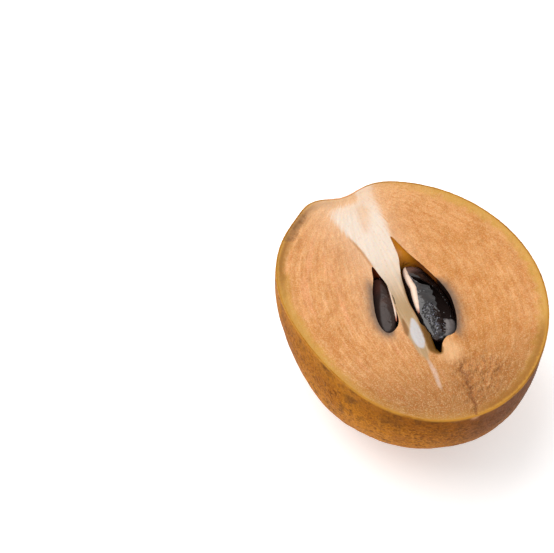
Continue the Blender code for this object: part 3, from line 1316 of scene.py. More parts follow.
@dataclass(frozen=True)
class FloorFinish:
    """Plain white sheet under the half, faintly lit from behind."""

    pale: Tint = tint(244, 244, 244)
    glow: float = 0.40

    def build(self) -> bpy.types.Material:
        """Build the material.

        Returns:
            The material.
        """
        bench = ShaderBench("floor")
        cloud = bench.noise(bench.place(), 0.2, 2.0, 0.5)
        bench.feed(Base_Color=self.pale, Roughness=0.7 + cloud * 0.1, Specular_IOR_Level=0.2,
                   Emission_Color=(1.0, 1.0, 1.0, 1.0), Emission_Strength=self.glow)
        return bench.material


# The half and its seeds


@dataclass
class Flesh:
    """Flesh and core: the cut face, the open chambers and the side under the skin."""

    shape: HalfShape
    chambers: Tuple[ChamberShape, ...]
    finish: FleshFinish
    spacing: float = 0.33
    rim_count: int = 520
    chamber_counts: Mapping[str, int] = field(default_factory=lambda: {"right": 230, "left": 150})
    wall_rings: int = 26
    wall_reach: float = 0.93
    seed_gap: float = 0.36 * MM
    push_centre: float = 0.85
    slit_rise: float = 0.62
    slit_span: Pair = (9.0, 15.0)
    side_rings: int = 22
    ledge_width: float = 1.8 * MM
    ledge_share: float = 0.16
    grain_height: float = 0.16 * MM
    wave_height: float = 0.22 * MM
    fibre_height: float = 0.14 * MM
    crack_depth: float = 0.45 * MM
    rough_depth: float = 0.45 * MM
    wall_height: float = 0.10 * MM
    edge_fall: float = 0.06 * MM
    sunk: float = 0.02 * MM
    sharp: float = 62.0 * DEGREE

    def rim_loop(self) -> np.ndarray:
        """Outline of the flesh on the cut face, in millimetres."""
        angle = round_steps(self.rim_count)
        return self.shape.skin_points(angle, 0.0, SKIN_THICKNESS + SKIN_CLEARANCE)[:, :2] / MM

    def face_grid(self, loops: Sequence[np.ndarray]) -> np.ndarray:
        """Scatter points evenly over the cut face, between its outlines.

        Args:
            loops: The rim first, then the chambers' rims, in millimetres.

        Returns:
            The points, in millimetres.
        """
        draw = np.random.default_rng(11)
        low, high = loops[0].min(axis=0), loops[0].max(axis=0)
        step = self.spacing * math.sqrt(3.0) / 2.0
        rows = np.arange(low[1], high[1], step)
        grid = []
        for number, y in enumerate(rows):
            x = np.arange(low[0], high[0], self.spacing) + (number % 2) * self.spacing / 2.0
            grid.append(np.stack([x, np.full_like(x, y)], axis=1))
        points = np.vstack(grid)
        points += draw.uniform(-0.16, 0.16, points.shape) * self.spacing
        keep = depth_inside(points, loops[0]) > 0.5 * self.spacing
        for loop in loops[1:]:
            keep &= depth_inside(points, loop) < -0.5 * self.spacing
        return points[keep]

    def wall_points(self, chamber: ChamberShape, rim: np.ndarray) -> np.ndarray:
        """Points of a chamber's wall, ring below ring, and then the middle of its floor.

        Args:
            chamber: The chamber.
            rim: Its rim, in millimetres.

        Returns:
            The points, in the frame.
        """
        middle = np.array(chamber.middle)
        rings = []
        for row in range(1, self.wall_rings + 1):
            share = self.wall_reach * math.sin(0.5 * math.pi * row / self.wall_rings)
            across = (1.0 - share ** chamber.side_power) ** (1.0 / chamber.side_power)
            to_stem = (1.0 - share ** chamber.stem_power) ** (1.0 / chamber.stem_power)
            to_tip = (1.0 - share ** chamber.tip_power) ** (1.0 / chamber.tip_power)
            out = rim - middle
            along = np.where(out[:, 1] > 0.0, to_stem, to_tip)
            flat = (middle + out * np.stack([np.full(len(rim), across), along], axis=1)) * MM
            if chamber.name == "right":
                ledge = (0.25 * eased(rim[:, 1], 9.0, 3.0) + 0.75 * eased(rim[:, 1], -8.0, -10.5))
                ledge *= eased(rim[:, 0], 0.0, -1.2)
                flat[:, 0] += ledge * self.ledge_width * min(1.0, share / self.ledge_share)
            shallow = 1.0 - self.slit_rise * eased(flat[:, 1] / MM, *self.slit_span)
            height = self.shape.cut_height - chamber.depth * share * shallow
            rings.append(np.column_stack([flat, height]))
        rings.append(rings[-1].mean(axis=0)[None, :])
        return self.clear_of_seed(np.vstack(rings) + OFFSET, chamber.seed)

    def clear_of_seed(self, points: np.ndarray, seed: SeedShape) -> np.ndarray:
        """Push points that would touch a seed out to a small gap beside it or below it.

        Args:
            points: Points, in the frame.
            seed: The seed.

        Returns:
            The points, moved where they were too near.
        """
        place = seed.place(self.shape)
        local = laid(points, place.inverted())
        along = np.clip(local[:, 1] / (0.5 * seed.length + self.seed_gap), -0.999, 0.999)
        back, hilum, up = seed.half_sizes(along)
        start, end = seed.scar_span
        hilum = hilum + seed.scar_proud * eased(along, start - 0.06, start) * eased(
            along, end + 0.01, end - 0.08)
        reach = np.where(local[:, 0] * seed.hilum_side > 0.0, hilum, back) + self.seed_gap
        rise = up + self.seed_gap
        flat, tall = local[:, 0] / reach, local[:, 2] / rise
        inside = (np.abs(local[:, 1]) < 0.5 * seed.length + self.seed_gap) & (
            flat ** 2 + tall ** 2 < 1.0)
        drop = tall - self.push_centre
        square = np.maximum(flat ** 2 + drop ** 2, 1e-6)
        half = self.push_centre * drop
        root = np.sqrt(np.maximum(half ** 2 - square * (self.push_centre ** 2 - 1.0), 0.0))
        push = np.where(inside, (root - half) / square, 1.0)
        local[:, 0] = flat * push * reach
        local[:, 2] = (self.push_centre + drop * push) * rise
        return laid(local, place)

    def build_mesh(self) -> bpy.types.Object:
        """Build the closed flesh: cut face, chamber walls, side and foot.

        Returns:
            The flesh, with the numbers that its finish reads.
        """
        loops = [self.rim_loop()]
        for chamber in self.chambers:
            loops.append(smooth_loop(chamber.rim, self.chamber_counts[chamber.name]))
        inner = self.face_grid(loops)
        flat = np.vstack(loops + [inner])
        starts = np.concatenate([[0], np.cumsum([len(loop) for loop in loops])])
        edges = []
        for start, loop in zip(starts, loops):
            count = len(loop)
            edges += [(start + k, start + (k + 1) % count) for k in range(count)]
        made = delaunay_2d_cdt([Vector(p) for p in flat], edges, [], 1, 1e-6, True)
        order = np.full(len(flat), -1)
        for number, sources in enumerate(made[3]):
            order[sources] = number
        flat = np.array([tuple(p) for p in made[0]])
        faces = np.array([tuple(f) for f in made[2]])
        middles = flat[faces].mean(axis=1)
        keep = inside_loop(middles, loops[0])
        for loop in loops[1:]:
            keep &= ~inside_loop(middles, loop)
        faces = [tuple(f) for f in faces[keep]]

        top = np.column_stack([flat * MM, np.zeros(len(flat))])
        top[:, 2] = self.shape.cut_height - self.sunk
        points = [top + OFFSET]
        wall = [np.zeros(len(top))]
        total = len(top)
        for start, loop, chamber in zip(starts[1:], loops[1:], self.chambers):
            ring = order[start:start + len(loop)]
            below = self.wall_points(chamber, loop)
            faces += self.join_down(ring, total, self.wall_rings)
            points.append(below)
            wall.append(np.full(len(below), 1.0 if chamber.name == "right" else 2.0))
            total += len(below)
        side = self.side_points(loops[0])
        faces += self.join_down(order[:len(loops[0])], total, self.side_rings)
        points.append(side)
        wall.append(np.full(len(side), -1.0))
        flesh = mesh_from("flesh", np.vstack(points), faces)
        self.mark(flesh, loops, np.concatenate(wall))
        return flesh

    def side_points(self, rim: np.ndarray) -> np.ndarray:
        """Points of the side under the skin, ring below ring, and then the middle of the foot.

        Args:
            rim: The flesh's outline on the cut face.

        Returns:
            The points, in the frame.
        """
        angle = round_steps(len(rim))
        inset = SKIN_THICKNESS + SKIN_CLEARANCE
        rings = []
        for row in range(1, self.side_rings + 1):
            climb = 0.5 * math.pi * row / (self.side_rings + 1)
            rings.append(self.shape.skin_points(angle, climb, inset) + OFFSET)
        centre = np.array([[0.0, 0.0, rings[-1][0, 2]]]) + OFFSET
        return np.vstack(rings + [centre])

    @staticmethod
    def join_down(ring: Sequence[int], start: int, rings: int) -> List[Tuple[int, ...]]:
        """Faces from a ring of the cut face down its wall to a floor.

        Args:
            ring: Numbers of the ring's points.
            start: Number of the first point below it.
            rings: How many rings lie below it.

        Returns:
            The faces.
        """
        count = len(ring)
        faces = []
        for k in range(count):
            after = (k + 1) % count
            faces.append((ring[k], ring[after], start + after, start + k))
        faces += loft_faces(rings, count, start)
        last, middle = start + (rings - 1) * count, start + rings * count
        for k in range(count):
            faces.append((last + k, last + (k + 1) % count, middle))
        return faces

    def mark(self, flesh: bpy.types.Object, loops: Sequence[np.ndarray], wall: np.ndarray) -> None:
        """Store what the finish and the relief read, such as the core's place.

        Args:
            flesh: The mesh.
            loops: The rim and the chambers' rims.
            wall: 0 on the cut face, 1 and 2 in the chambers, -1 on the side.
        """
        points = points_of(flesh)
        flat = (points - OFFSET)[:, :2] / MM
        x, y = flat[:, 0], flat[:, 1]
        depth = (self.shape.cut_height - points[:, 2]) / MM
        on_face = wall == 0.0
        rim = np.maximum(depth_inside(flat, loops[0]), 0.0)
        right = np.maximum(-depth_inside(flat, loops[1]), 0.0)
        left = np.maximum(-depth_inside(flat, loops[2]), 0.0)
        left_edge, right_edge = (
            np.interp(y, [p[1] for p in edge[::-1]], [p[0] for p in edge[::-1]])
            for edge in (CORE_LEFT, CORE_RIGHT))
        aside = np.maximum(np.maximum(left_edge - x, (x - right_edge) * 2.2), 0.0)
        soft = np.interp(y, [-34.0, -18.0, -8.0, 12.0, 18.0, 25.0, 33.0],
                         [3.5, 1.8, 0.8, 0.8, 1.8, 4.5, 7.0])
        core = np.clip(0.5 + np.minimum(x - left_edge, right_edge - x) / soft, 0.0, 1.0)
        core *= eased(y, -26.0, -12.0) * 0.75 + 0.25
        core *= eased(y, -36.0, -28.0)
        core *= 1.0 - eased(y, 29.5, 35.0) * eased(x, -0.5, -4.0) * 0.9
        marks: Dict[str, np.ndarray] = {
            "face": on_face.astype(float),
            "edge": self.edge_mark(flat),
            "pale": eased(np.hypot(x - 1.8, (y + 18.6) * 0.8), 4.6, 1.2) * on_face,
            "rim": rim,
            "core": core,
            "wall": (wall > 0.0) * eased(depth, 0.02, 0.25),
            # Painted shade for the chambers' depths and the gaps round the seeds
            "deep": self.depth_shade(wall, y, depth),
            "amber": eased(y, 9.0, 14.5) * (wall == 1.0),
            "rust": (wall == 2.0).astype(float),
            "island": within(flat, CORE_ISLAND, 60, (-1.6, 1.4)),
            "glow": np.maximum(
                eased(np.hypot((x + 9.0) / 5.0, (y - 30.5) / 4.5), 1.3, 0.2),
                np.exp(-aside / 6.5) * eased(y, -22.0, 4.0) * 0.8),
            "rough": within(flat, ROUGH_PLACE, 80, (-3.0, 2.5)),
            "shoulder": within(flat, TORN_SHOULDER, 60, (-1.2, 1.2)),
            "threads": eased(x, 4.0, -3.0) * 0.75 + 0.25,
            "pith": within(flat, PITH_PATCH, 60, (-0.25, 0.3)),
            "strip": within(flat, BROWN_STRIP, 50, (-0.3, 0.3)),
            "streak": self.streak_mark(flat),
            "seam": (eased(np.abs(x - left_edge + 0.2), 0.55, 0.15) * eased(y, 10.5, 13.0)
                     * eased(y, 24.0, 19.0) * on_face),
            "olive": np.clip(eased(x, 8.0, 24.0) + eased(x, -22.0, -30.0) * 0.7 + 0.25, 0.0, 1.0),
            "crack": self.crack_mark(flat),
            "mustard": self.mustard_mark(wall, flat, depth, right),
            "stain": self.stain_mark(flat, left, right, on_face),
            "fibre": self.fibre_place(flat),
            "rays": self.ray_place(flat),
        }
        for name, values in marks.items():
            mark_points(flesh, name, values)

    @staticmethod
    def edge_mark(flat: np.ndarray) -> np.ndarray:
        """Where the flesh is browned beside the skin: at the upper left and the lower right.

        Args:
            flat: Points of the flesh, in millimetres.

        Returns:
            How browned each point is.
        """
        turn = np.degrees(np.arctan2(flat[:, 1], flat[:, 0]))
        upper_left = eased(turn, 98.0, 112.0) * eased(turn, 172.0, 150.0)
        lower_right = eased(turn, -98.0, -78.0) * eased(turn, -22.0, -42.0)
        return upper_left + lower_right

    @staticmethod
    def depth_shade(wall: np.ndarray, y: np.ndarray, depth: np.ndarray) -> np.ndarray:
        """How much painted shade darkens a chamber's wall: none by the stem, where it stays
        caramel, and black low down and round the seed.

        Args:
            wall: 1 in the right chamber and 2 in the left one.
            y: Places along the core, in millimetres.
            depth: Depths below the cut, in millimetres.

        Returns:
            How much painted shade each point takes.
        """
        right = np.maximum(eased(depth, 4.6, 6.2), eased(y, 5.5, 1.5))
        left = np.maximum(eased(depth, 1.5, 4.0), eased(y, 10.0, 6.5))
        return np.where(wall == 2.0, left, right)

    @staticmethod
    def mustard_mark(wall: np.ndarray, flat: np.ndarray, depth: np.ndarray,
                     right: np.ndarray) -> np.ndarray:
        """The olive ledge low on the core's side of the right chamber.

        Args:
            wall: 1 in the right chamber and 0 on the cut face.
            flat: Points of the flesh, in millimetres.
            depth: Depths below the cut, in millimetres.
            right: Distances outside the right chamber's rim.

        Returns:
            How much of it shows at each point.
        """
        low = (0.45 + 0.55 * eased(flat[:, 1], -7.0, -10.5)) * eased(flat[:, 1], 9.0, 4.0)
        on_wall = (wall == 1.0) * eased(depth, 1.9, 1.0)
        by_core = (flat[:, 0] < 0.8) * low
        return by_core * np.maximum(on_wall, (wall == 0.0) * eased(right, 0.7, 0.1))

    @staticmethod
    def streak_mark(flat: np.ndarray) -> np.ndarray:
        """The pale streak below the core, thickest in its middle.

        Args:
            flat: Points of the flesh, in millimetres.

        Returns:
            How much of it shows at each point.
        """
        low, high = PALE_STREAK[-1][1], PALE_STREAK[0][1]
        share = np.clip((flat[:, 1] - low) / (high - low), 0.0, 1.0)
        half_width = 0.25 + 0.75 * np.sin(math.pi * share)
        away = distance_to_path(flat, np.array(PALE_STREAK)) / half_width
        strong = 0.35 + 0.65 * eased(share, 0.95, 0.6)
        return eased(away, 1.2, 0.2) * eased(share, 0.0, 0.3) * strong

    @staticmethod
    def crack_mark(flat: np.ndarray) -> np.ndarray:
        """The brown crack that runs to the rim."""
        return eased(distance_to_path(flat, np.array(BROWN_CRACK)), 1.0, 0.1)

    @staticmethod
    def stain_mark(flat: np.ndarray, left: np.ndarray, right: np.ndarray,
                   on_face: np.ndarray) -> np.ndarray:
        """The dark halo outside each chamber, on the side away from the core.

        Args:
            flat: Points of the flesh, in millimetres.
            left: Distances outside the left chamber's rim.
            right: Distances outside the right chamber's rim.
            on_face: Which points lie on the cut face.

        Returns:
            How stained each point is.
        """
        x, y = flat[:, 0], flat[:, 1]
        by_left = np.exp(-left / 2.0) * eased(x, -7.8, -10.4) * eased(y, 12.0, 7.0)
        by_right = np.exp(-right / 2.3) * eased(x, 4.2, 6.5) * eased(y, 6.5, 1.5)
        return np.clip(by_left + by_right, 0.0, 1.0) * on_face

    @staticmethod
    def fibre_place(flat: np.ndarray) -> np.ndarray:
        """Place across and along the arcs that run from the stem to the tip.

        Args:
            flat: Points of the flesh, in millimetres.

        Returns:
            The places, one in each row, in about millimetres.
        """
        to_stem = flat - np.array(STEM_PLACE)
        to_tip = flat - np.array(TIP_PLACE)
        cross = to_stem[:, 0] * to_tip[:, 1] - to_stem[:, 1] * to_tip[:, 0]
        dot = np.sum(to_stem * to_tip, axis=1)
        bend = np.arctan2(cross, -dot)
        along = np.log((np.hypot(*to_stem.T) + 0.5) / (np.hypot(*to_tip.T) + 0.5))
        span = 0.25 * math.dist(STEM_PLACE, TIP_PLACE)
        return np.column_stack([bend * span, along * span, np.zeros(len(flat))])

    @staticmethod
    def ray_place(flat: np.ndarray) -> np.ndarray:
        """Place round and out from the chambers, for stains drawn outwards in rays.

        Args:
            flat: Points of the flesh, in millimetres.

        Returns:
            The places, one in each row.
        """
        rays = []
        for centre in (np.array(CHAMBER_RIGHT.middle), np.array(CHAMBER_LEFT.middle)):
            out = flat - centre
            rays.append(np.stack([np.arctan2(out[:, 1], out[:, 0]) * 5.0,
                                  np.hypot(out[:, 0], out[:, 1]) * 0.25], axis=1))
        nearer = (flat[:, 0] > -4.0)[:, None]
        return np.column_stack([np.where(nearer, rays[0], rays[1]), np.zeros(len(flat))])

    def relief(self, material: bpy.types.Material) -> GeometryBench:
        """Tree that sinks the grain of the flesh into the cut face and dimples the walls.

        Args:
            material: The flesh's material.

        Returns:
            The tree.
        """
        bench = GeometryBench("flesh_relief", {
            "Grain Height": self.grain_height, "Wave Height": self.wave_height,
            "Fibre Height": self.fibre_height, "Crack Depth": self.crack_depth,
            "Rough Depth": self.rough_depth, "Wall Height": self.wall_height,
            "Edge Fall": self.edge_fall})
        place = bench.add("GeometryNodeInputPosition")
        normal = bench.add("GeometryNodeInputNormal")
        face, core = bench.named("face"), bench.named("core")
        fibre = bench.add("GeometryNodeInputNamedAttribute", {"data_type": "FLOAT_VECTOR"},
                          {"Name": "fibre"})
        wave = bench.noise(place, 7.0 * MM, 2.0, 0.5).eased(0.3, 0.7)
        grain = bench.noise(place, 1.3 * MM, 3.0, 0.62).eased(0.25, 0.75)
        threads = bench.noise(fibre * (1.0, 0.07, 0.0), 1.1, 3.0, 0.6).eased(0.3, 0.7)
        edge = bench.named("rim").eased(1.2, 0.0)
        sink = wave * bench.given("Wave Height") + grain * bench.given("Grain Height") * (
            1.0 - core * 0.75)
        sink = sink + threads * bench.given("Fibre Height")
        sink = sink + bench.named("crack") * grain * bench.given("Crack Depth")
        pits = bench.noise(place, 1.8 * MM, 2.0, 0.6).eased(0.42, 0.60)
        torn = bench.math("MAXIMUM", bench.named("rough"), bench.named("shoulder"))
        sink = sink + pits * torn * bench.given("Rough Depth")
        sink = sink * bench.named("rim").eased(0.0, 1.4) + edge * bench.given("Edge Fall")
        dimple = (bench.noise(place, 1.6 * MM, 2.0, 0.5) - 0.5) * bench.given("Wall Height")
        down = bench.arrow(0.0, 0.0, -1.0).scaled(sink * face)
        moved = bench.add("GeometryNodeSetPosition", {}, {
            "Geometry": bench.given("Geometry"),
            "Offset": down + normal.scaled(dimple * bench.named("wall"))})
        bench.finish(moved, material)
        return bench

    def build(self) -> bpy.types.Object:
        """Build and dress the flesh.

        Returns:
            The flesh.
        """
        flesh = self.build_mesh()
        self.relief(self.finish.build()).run(flesh)
        shade(flesh, self.sharp)
        return settle(flesh, "fruit")


@dataclass
class Skin:
    """Thin skin round the flesh, made by the rule of the bowl."""

    shape: HalfShape
    finish: SkinFinish
    columns: int = 440
    outer_rows: int = 150
    inner_rows: int = 22
    proud_limit: float = 0.05 * MM
    dent_depth: float = 0.30 * MM
    pore_depth: float = 0.07 * MM
    rim_wear: float = 0.10 * MM
    merge_reach: float = 2e-6
    sharp: float = 50.0 * DEGREE

    def tree(self, material: bpy.types.Material) -> GeometryBench:
        """Tree that makes the closed skin from its sizes.

        Args:
            material: The skin's material.

        Returns:
            The tree.
        """
        shape = self.shape
        bench = GeometryBench("skin_rule", {
            "Cut Radius": shape.cut_radius, "Cut Height": shape.cut_height,
            "Bowl Depth": shape.bowl_depth, "Fullness": shape.fullness,
            "Thickness": SKIN_THICKNESS, "Stem Dip": 1.0, "Lobe Height": 1.0,
            "Dent Depth": self.dent_depth, "Pore Depth": self.pore_depth,
            "Rim Wear": self.rim_wear})
        rows = self.outer_rows + self.inner_rows
        grid = bench.add("GeometryNodeMeshGrid", {}, {
            "Size X": 1.0, "Size Y": 1.0, "Vertices X": self.columns + 1, "Vertices Y": rows},
            out="Mesh")
        across, up, _ = bench.add("GeometryNodeInputPosition").parts()
        angle = (across + 0.5) * (2.0 * math.pi)
        row = (up + 0.5) * (rows - 1.0)
        inside = bench.math("GREATER_THAN", row, self.outer_rows - 0.5)
        outer_climb = 1.0 - row / (self.outer_rows - 1.0)
        inner_climb = (row - float(self.outer_rows)) / (self.inner_rows - 1.0)
        climb = (outer_climb * (1.0 - inside) + inner_climb * inside) * (0.5 * math.pi)
        climb = bench.math("MINIMUM", bench.math("MAXIMUM", climb, 0.0), 0.5 * math.pi)
        power = 2.0 / bench.given("Fullness")
        cosine = bench.math("MAXIMUM", bench.math("COSINE", climb), 0.0)
        sine = bench.math("MAXIMUM", bench.math("SINE", climb), 0.0)
        scale, sunk = cosine ** power, sine ** power
        inset = inside * bench.given("Thickness")
        depth = (bench.given("Bowl Depth") - inset) * sunk
        outline = bench.given("Cut Radius")
        for count, height, turn in shape.lobes:
            outline = outline + bench.math("COSINE", (angle - turn) * float(count)) * height
        radius = scale * (outline - inset)
        belly = bench.math("SINE", climb * 2.0) * bench.given("Lobe Height")
        for count, height, turn in shape.bowl_lobes:
            radius = radius + bench.math("COSINE", (angle - turn) * float(count)) * height * belly
        for direction, dip, width in shape.stem_dents:
            aside = scale * outline * bench.math("WRAP", angle - direction, math.pi, -math.pi)
            far = (aside * aside + depth * depth) / (2.0 * width * width)
            radius = radius - bench.math("EXPONENT", -far) * dip * bench.given("Stem Dip")
        near_cut = depth.eased(4.0 * MM, 0.0)

        unit = bench.arrow(bench.math("COSINE", angle), bench.math("SINE", angle), 0.0)
        rough = unit.scaled(radius) + bench.arrow(0.0, 0.0, -depth)
        dent = bench.noise(rough, 9.0 * MM, 2.0, 0.5).eased(0.35, 0.75) * bench.given("Dent Depth")
        pore = bench.noise(rough, 0.9 * MM, 2.0, 0.6).eased(0.40, 0.75) * bench.given("Pore Depth")
        wear = bench.noise(rough, 1.7 * MM, 3.0, 0.65).eased(0.35, 0.75) * bench.given("Rim Wear")
        at_rim = depth.eased(0.4 * MM, 0.0)
        tuck = (dent * (1.0 - near_cut) + pore + self.proud_limit) * (1.0 - inside)
        level = bench.given("Cut Height") - depth - wear * at_rim
        height = bench.math("MAXIMUM", level + tuck * sunk * 0.6, inset)
        spot = unit.scaled(bench.math("MAXIMUM", radius - tuck, 0.0)) + bench.arrow(
            OFFSET[0], OFFSET[1], height)
        stored = bench.add("GeometryNodeStoreNamedAttribute", {"data_type": "FLOAT"}, {
            "Geometry": grid, "Name": "cut_edge", "Value": depth.eased(0.30 * MM, 0.0)})
        moved = bench.add("GeometryNodeSetPosition", {}, {"Geometry": stored, "Position": spot})
        closed = bench.add("GeometryNodeMergeByDistance", {}, {
            "Geometry": moved, "Distance": self.merge_reach})
        bench.finish(closed, material)
        return bench

    def build(self) -> bpy.types.Object:
        """Build and dress the skin.

        Returns:
            The skin.
        """
        skin = new_object("skin", bpy.data.meshes.new("skin"))
        self.tree(self.finish.build()).run(skin)
        turn_out(skin.data)
        shade(skin, self.sharp)
        return settle(skin, "fruit")


class Keeping(Enum):
    """How a seed came through the cut."""

    WHOLE = "whole"
    BROKEN = "broken"


@dataclass
class Seed:
    """A glossy flattened seed with its cream scar."""

    shape: SeedShape
    half: HalfShape
    keeping: Keeping
    coat: CoatFinish
    scar: HilumFinish
    rings: int = 120
    sides: int = 96
    wobble: float = 0.16 * MM
    crumple: float = 0.10 * MM
    chip: float = 0.40 * MM
    break_depth: float = 4.8 * MM
    coat_thickness: float = 0.45 * MM
    hollow_reach: float = 0.86
    hollow_lean: float = 0.75
    crumbs_per_area: float = 4.0e6
    crumb_sizes: Pair = (0.10 * MM, 0.42 * MM)
    sharp: float = 42.0 * DEGREE
    scar_sharp: float = 60.0 * DEGREE
    scar_rings: int = 60
    scar_sides: int = 20
    hilum_end_size: float = 0.20
    hilum_end_power: float = 0.45
    hilum_rises: Tuple[float, float, float] = (0.40, 0.92, 0.45)

    def ring_points(self, along: float, inset: float, lean: float = 0.0) -> np.ndarray:
        """Points of one ring across the seed, in the seed's own frame.

        Args:
            along: Share of half the length.
            inset: How far inside the coat the ring lies.
            lean: Share of the hilum side that it leaves free.

        Returns:
            The points.
        """
        back, hilum, up = (float(size[0]) for size in self.shape.half_sizes(np.array([along])))
        turn = round_steps(self.sides)
        out = np.cos(turn)
        width = np.where(out > 0.0, hilum * (1.0 - lean), back)
        width = np.maximum(width - inset, 0.0)
        return np.column_stack([self.shape.hilum_side * width * out,
                                np.full(self.sides, along * (0.5 * self.shape.length - inset)),
                                max(up - inset, 0.0) * np.sin(turn)])

    def body(self, name: str, inset: float = 0.0, reach: float = 1.0, lean: float = 0.0
             ) -> bpy.types.Object:
        """Closed seed shape, laid in its place.

        Args:
            name: The object's name.
            inset: How far inside the coat it lies.
            reach: Share of the length that it fills.
            lean: Share of the hilum side that it leaves free.

        Returns:
            The object.
        """
        shares = [-reach * math.cos(math.pi * row / self.rings) for row in range(1, self.rings)]
        local = [self.ring_points(share, inset, lean) for share in shares]
        tip = reach * (0.5 * self.shape.length - inset)
        points = np.vstack(local + [np.array([[0.0, -tip, 0.0], [0.0, tip, 0.0]])])
        return mesh_from(name, laid(points, self.shape.place(self.half)),
                         capped_faces(self.rings - 1, self.sides))

    def relief(self, material: bpy.types.Material) -> GeometryBench:
        """Tree that ripples the coat, inwards only, and roughens it where it crumbled.

        Args:
            material: The coat's material.

        Returns:
            The tree.
        """
        bench = GeometryBench(self.shape.name + "_ripple", {
            "Ripple": self.wobble, "Crumple": self.crumple, "Chip": self.chip})
        place = bench.add("GeometryNodeInputPosition")
        normal = bench.add("GeometryNodeInputNormal")
        ripple = bench.noise(place, 4.5 * MM, 2.0, 0.55).eased(0.3, 0.7) * bench.given("Ripple")
        crumple = bench.noise(place, 1.1 * MM, 3.0, 0.6).eased(0.45, 0.75) * bench.given("Crumple")
        chip = bench.cells(place, 0.9 * MM) * bench.named("crumble") * bench.given("Chip")
        sink = ripple + crumple + chip
        moved = bench.add("GeometryNodeSetPosition", {}, {
            "Geometry": bench.given("Geometry"), "Offset": normal.scaled(-sink)})
        bench.finish(moved, material)
        return bench

    def break_open(self, coat: bpy.types.Object) -> None:
        """Cut the broken place and the hollow under it out of the coat.

        Args:
            coat: The coat.
        """
        outline = np.array(BROKEN_COAT) * MM + OFFSET[:2]
        top = self.half.cut_height + 2.0 * MM
        floor = self.half.cut_height - self.break_depth
        points = np.vstack([np.column_stack([outline, np.full(len(outline), level)])
                            for level in (floor, top)])
        count = len(outline)
        faces: List[Tuple[int, ...]] = list(loft_faces(2, count))
        faces += [tuple(range(count)), tuple(range(count, 2 * count))]
        hollow = self.body("hollow", self.coat_thickness, self.hollow_reach, self.hollow_lean)
        for cutter in (hollow, mesh_from("break", points, faces)):
            mark_faces(cutter, "inner", 1.0)
            cut_with(coat, cutter)

    def crumbs(self, coat: bpy.types.Object) -> bpy.types.Object:
        """Scatter small chips of the coat beside the break.

        Args:
            coat: The coat.

        Returns:
            The chips, as one object.
        """
        item = new_object(self.shape.name + "_crumbs", coat.data.copy())
        bench = GeometryBench(self.shape.name + "_chips", {
            "Chips per Area": self.crumbs_per_area, "Smallest": self.crumb_sizes[0],
            "Largest": self.crumb_sizes[1]})
        size = bench.random(bench.given("Smallest"), bench.given("Largest"), 7)
        chips = bench.scattered(bench.named("crumble") * bench.given("Chips per Area"),
                                bench.arrow(size, size * 0.8, size * 0.5), 5)
        bench.finish(chips, coat.data.materials[0])
        bench.run(item)
        mark_points(item, "crumble", np.full(len(item.data.vertices), 1.0))
        return item

    def hilum(self) -> bpy.types.Object:
        """Cream strip along the inner edge, tapering out at both ends.

        Returns:
            The strip.
        """
        rings, sides = self.scar_rings, self.scar_sides
        local, low_end = [], []
        sunk = self.shape.scar_radius - self.shape.scar_proud
        start, end = self.shape.scar_span
        turn = round_steps(sides)
        for row in range(rings + 1):
            share = row / rings
            along = start + (end - start) * share
            _, width, up = (float(size[0]) for size in self.shape.half_sizes(np.array([along])))
            swell = max(math.sin(math.pi * share), 0.0)
            rise = self.shape.hilum_rise * np.interp(share, (0.0, 0.5, 1.0), self.hilum_rises)
            thick = self.shape.scar_radius * (
                self.hilum_end_size + (1.0 - self.hilum_end_size) * swell ** self.hilum_end_power)
            local.append(np.column_stack([
                self.shape.hilum_side * (width - sunk) * math.cos(rise) + thick * np.cos(turn),
                np.full(sides, along * 0.5 * self.shape.length),
                (up - sunk) * math.sin(rise) + thick * np.sin(turn)]))
            low_end.append(np.full(sides, eased(np.array(share), 0.14, 0.03)))
        points = np.vstack(local + [local[0].mean(axis=0)[None], local[-1].mean(axis=0)[None]])
        strip = mesh_from(self.shape.name + "_hilum", laid(points, self.shape.place(self.half)),
                          capped_faces(rings + 1, sides))
        mark_points(strip, "low_end", np.concatenate(low_end + [[1.0], [0.0]]))
        strip.data.materials.append(self.scar.build())
        shade(strip, self.scar_sharp)
        return strip

    def build(self) -> List[bpy.types.Object]:
        """Build and dress the seed's coat, its scar and its chips.

        Returns:
            The pieces.
        """
        coat = self.body(self.shape.name + "_coat")
        mark_faces(coat, "inner", 0.0)
        if self.keeping is Keeping.WHOLE:
            flat = (points_of(coat) - OFFSET)[:, :2] / MM
            sheen = within(flat, LEFT_SHEEN, 80, (-0.5, 0.2))
            # Painted shade: outside its sheen the left seed's coat turns matt dark
            mark_points(coat, "unlit", 1.0 - sheen)
            mark_points(coat, "rust", (1.0 - sheen) * np.maximum(
                eased(flat[:, 1], 2.0, 6.0), eased(flat[:, 0], -7.6, -6.6)) * 0.8)
        else:
            self.break_open(coat)
            flat = (points_of(coat) - OFFSET)[:, :2] / MM
            mark_points(coat, "crumble", within(flat, CRUMBLED_COAT, 60, (-0.3, 0.5)))
            mark_points(coat, "grey", within(flat, GREY_COAT, 60, (-0.2, 0.3)))
            mark_points(coat, "mauve", eased(flat[:, 1], 7.5, 10.0) * 0.8)
        self.relief(self.coat.build()).run(coat)
        shade(coat, self.sharp)
        pieces = [coat, self.hilum()]
        if self.keeping is Keeping.BROKEN:
            pieces.append(self.crumbs(coat))
        return [settle(piece, self.shape.name) for piece in pieces]


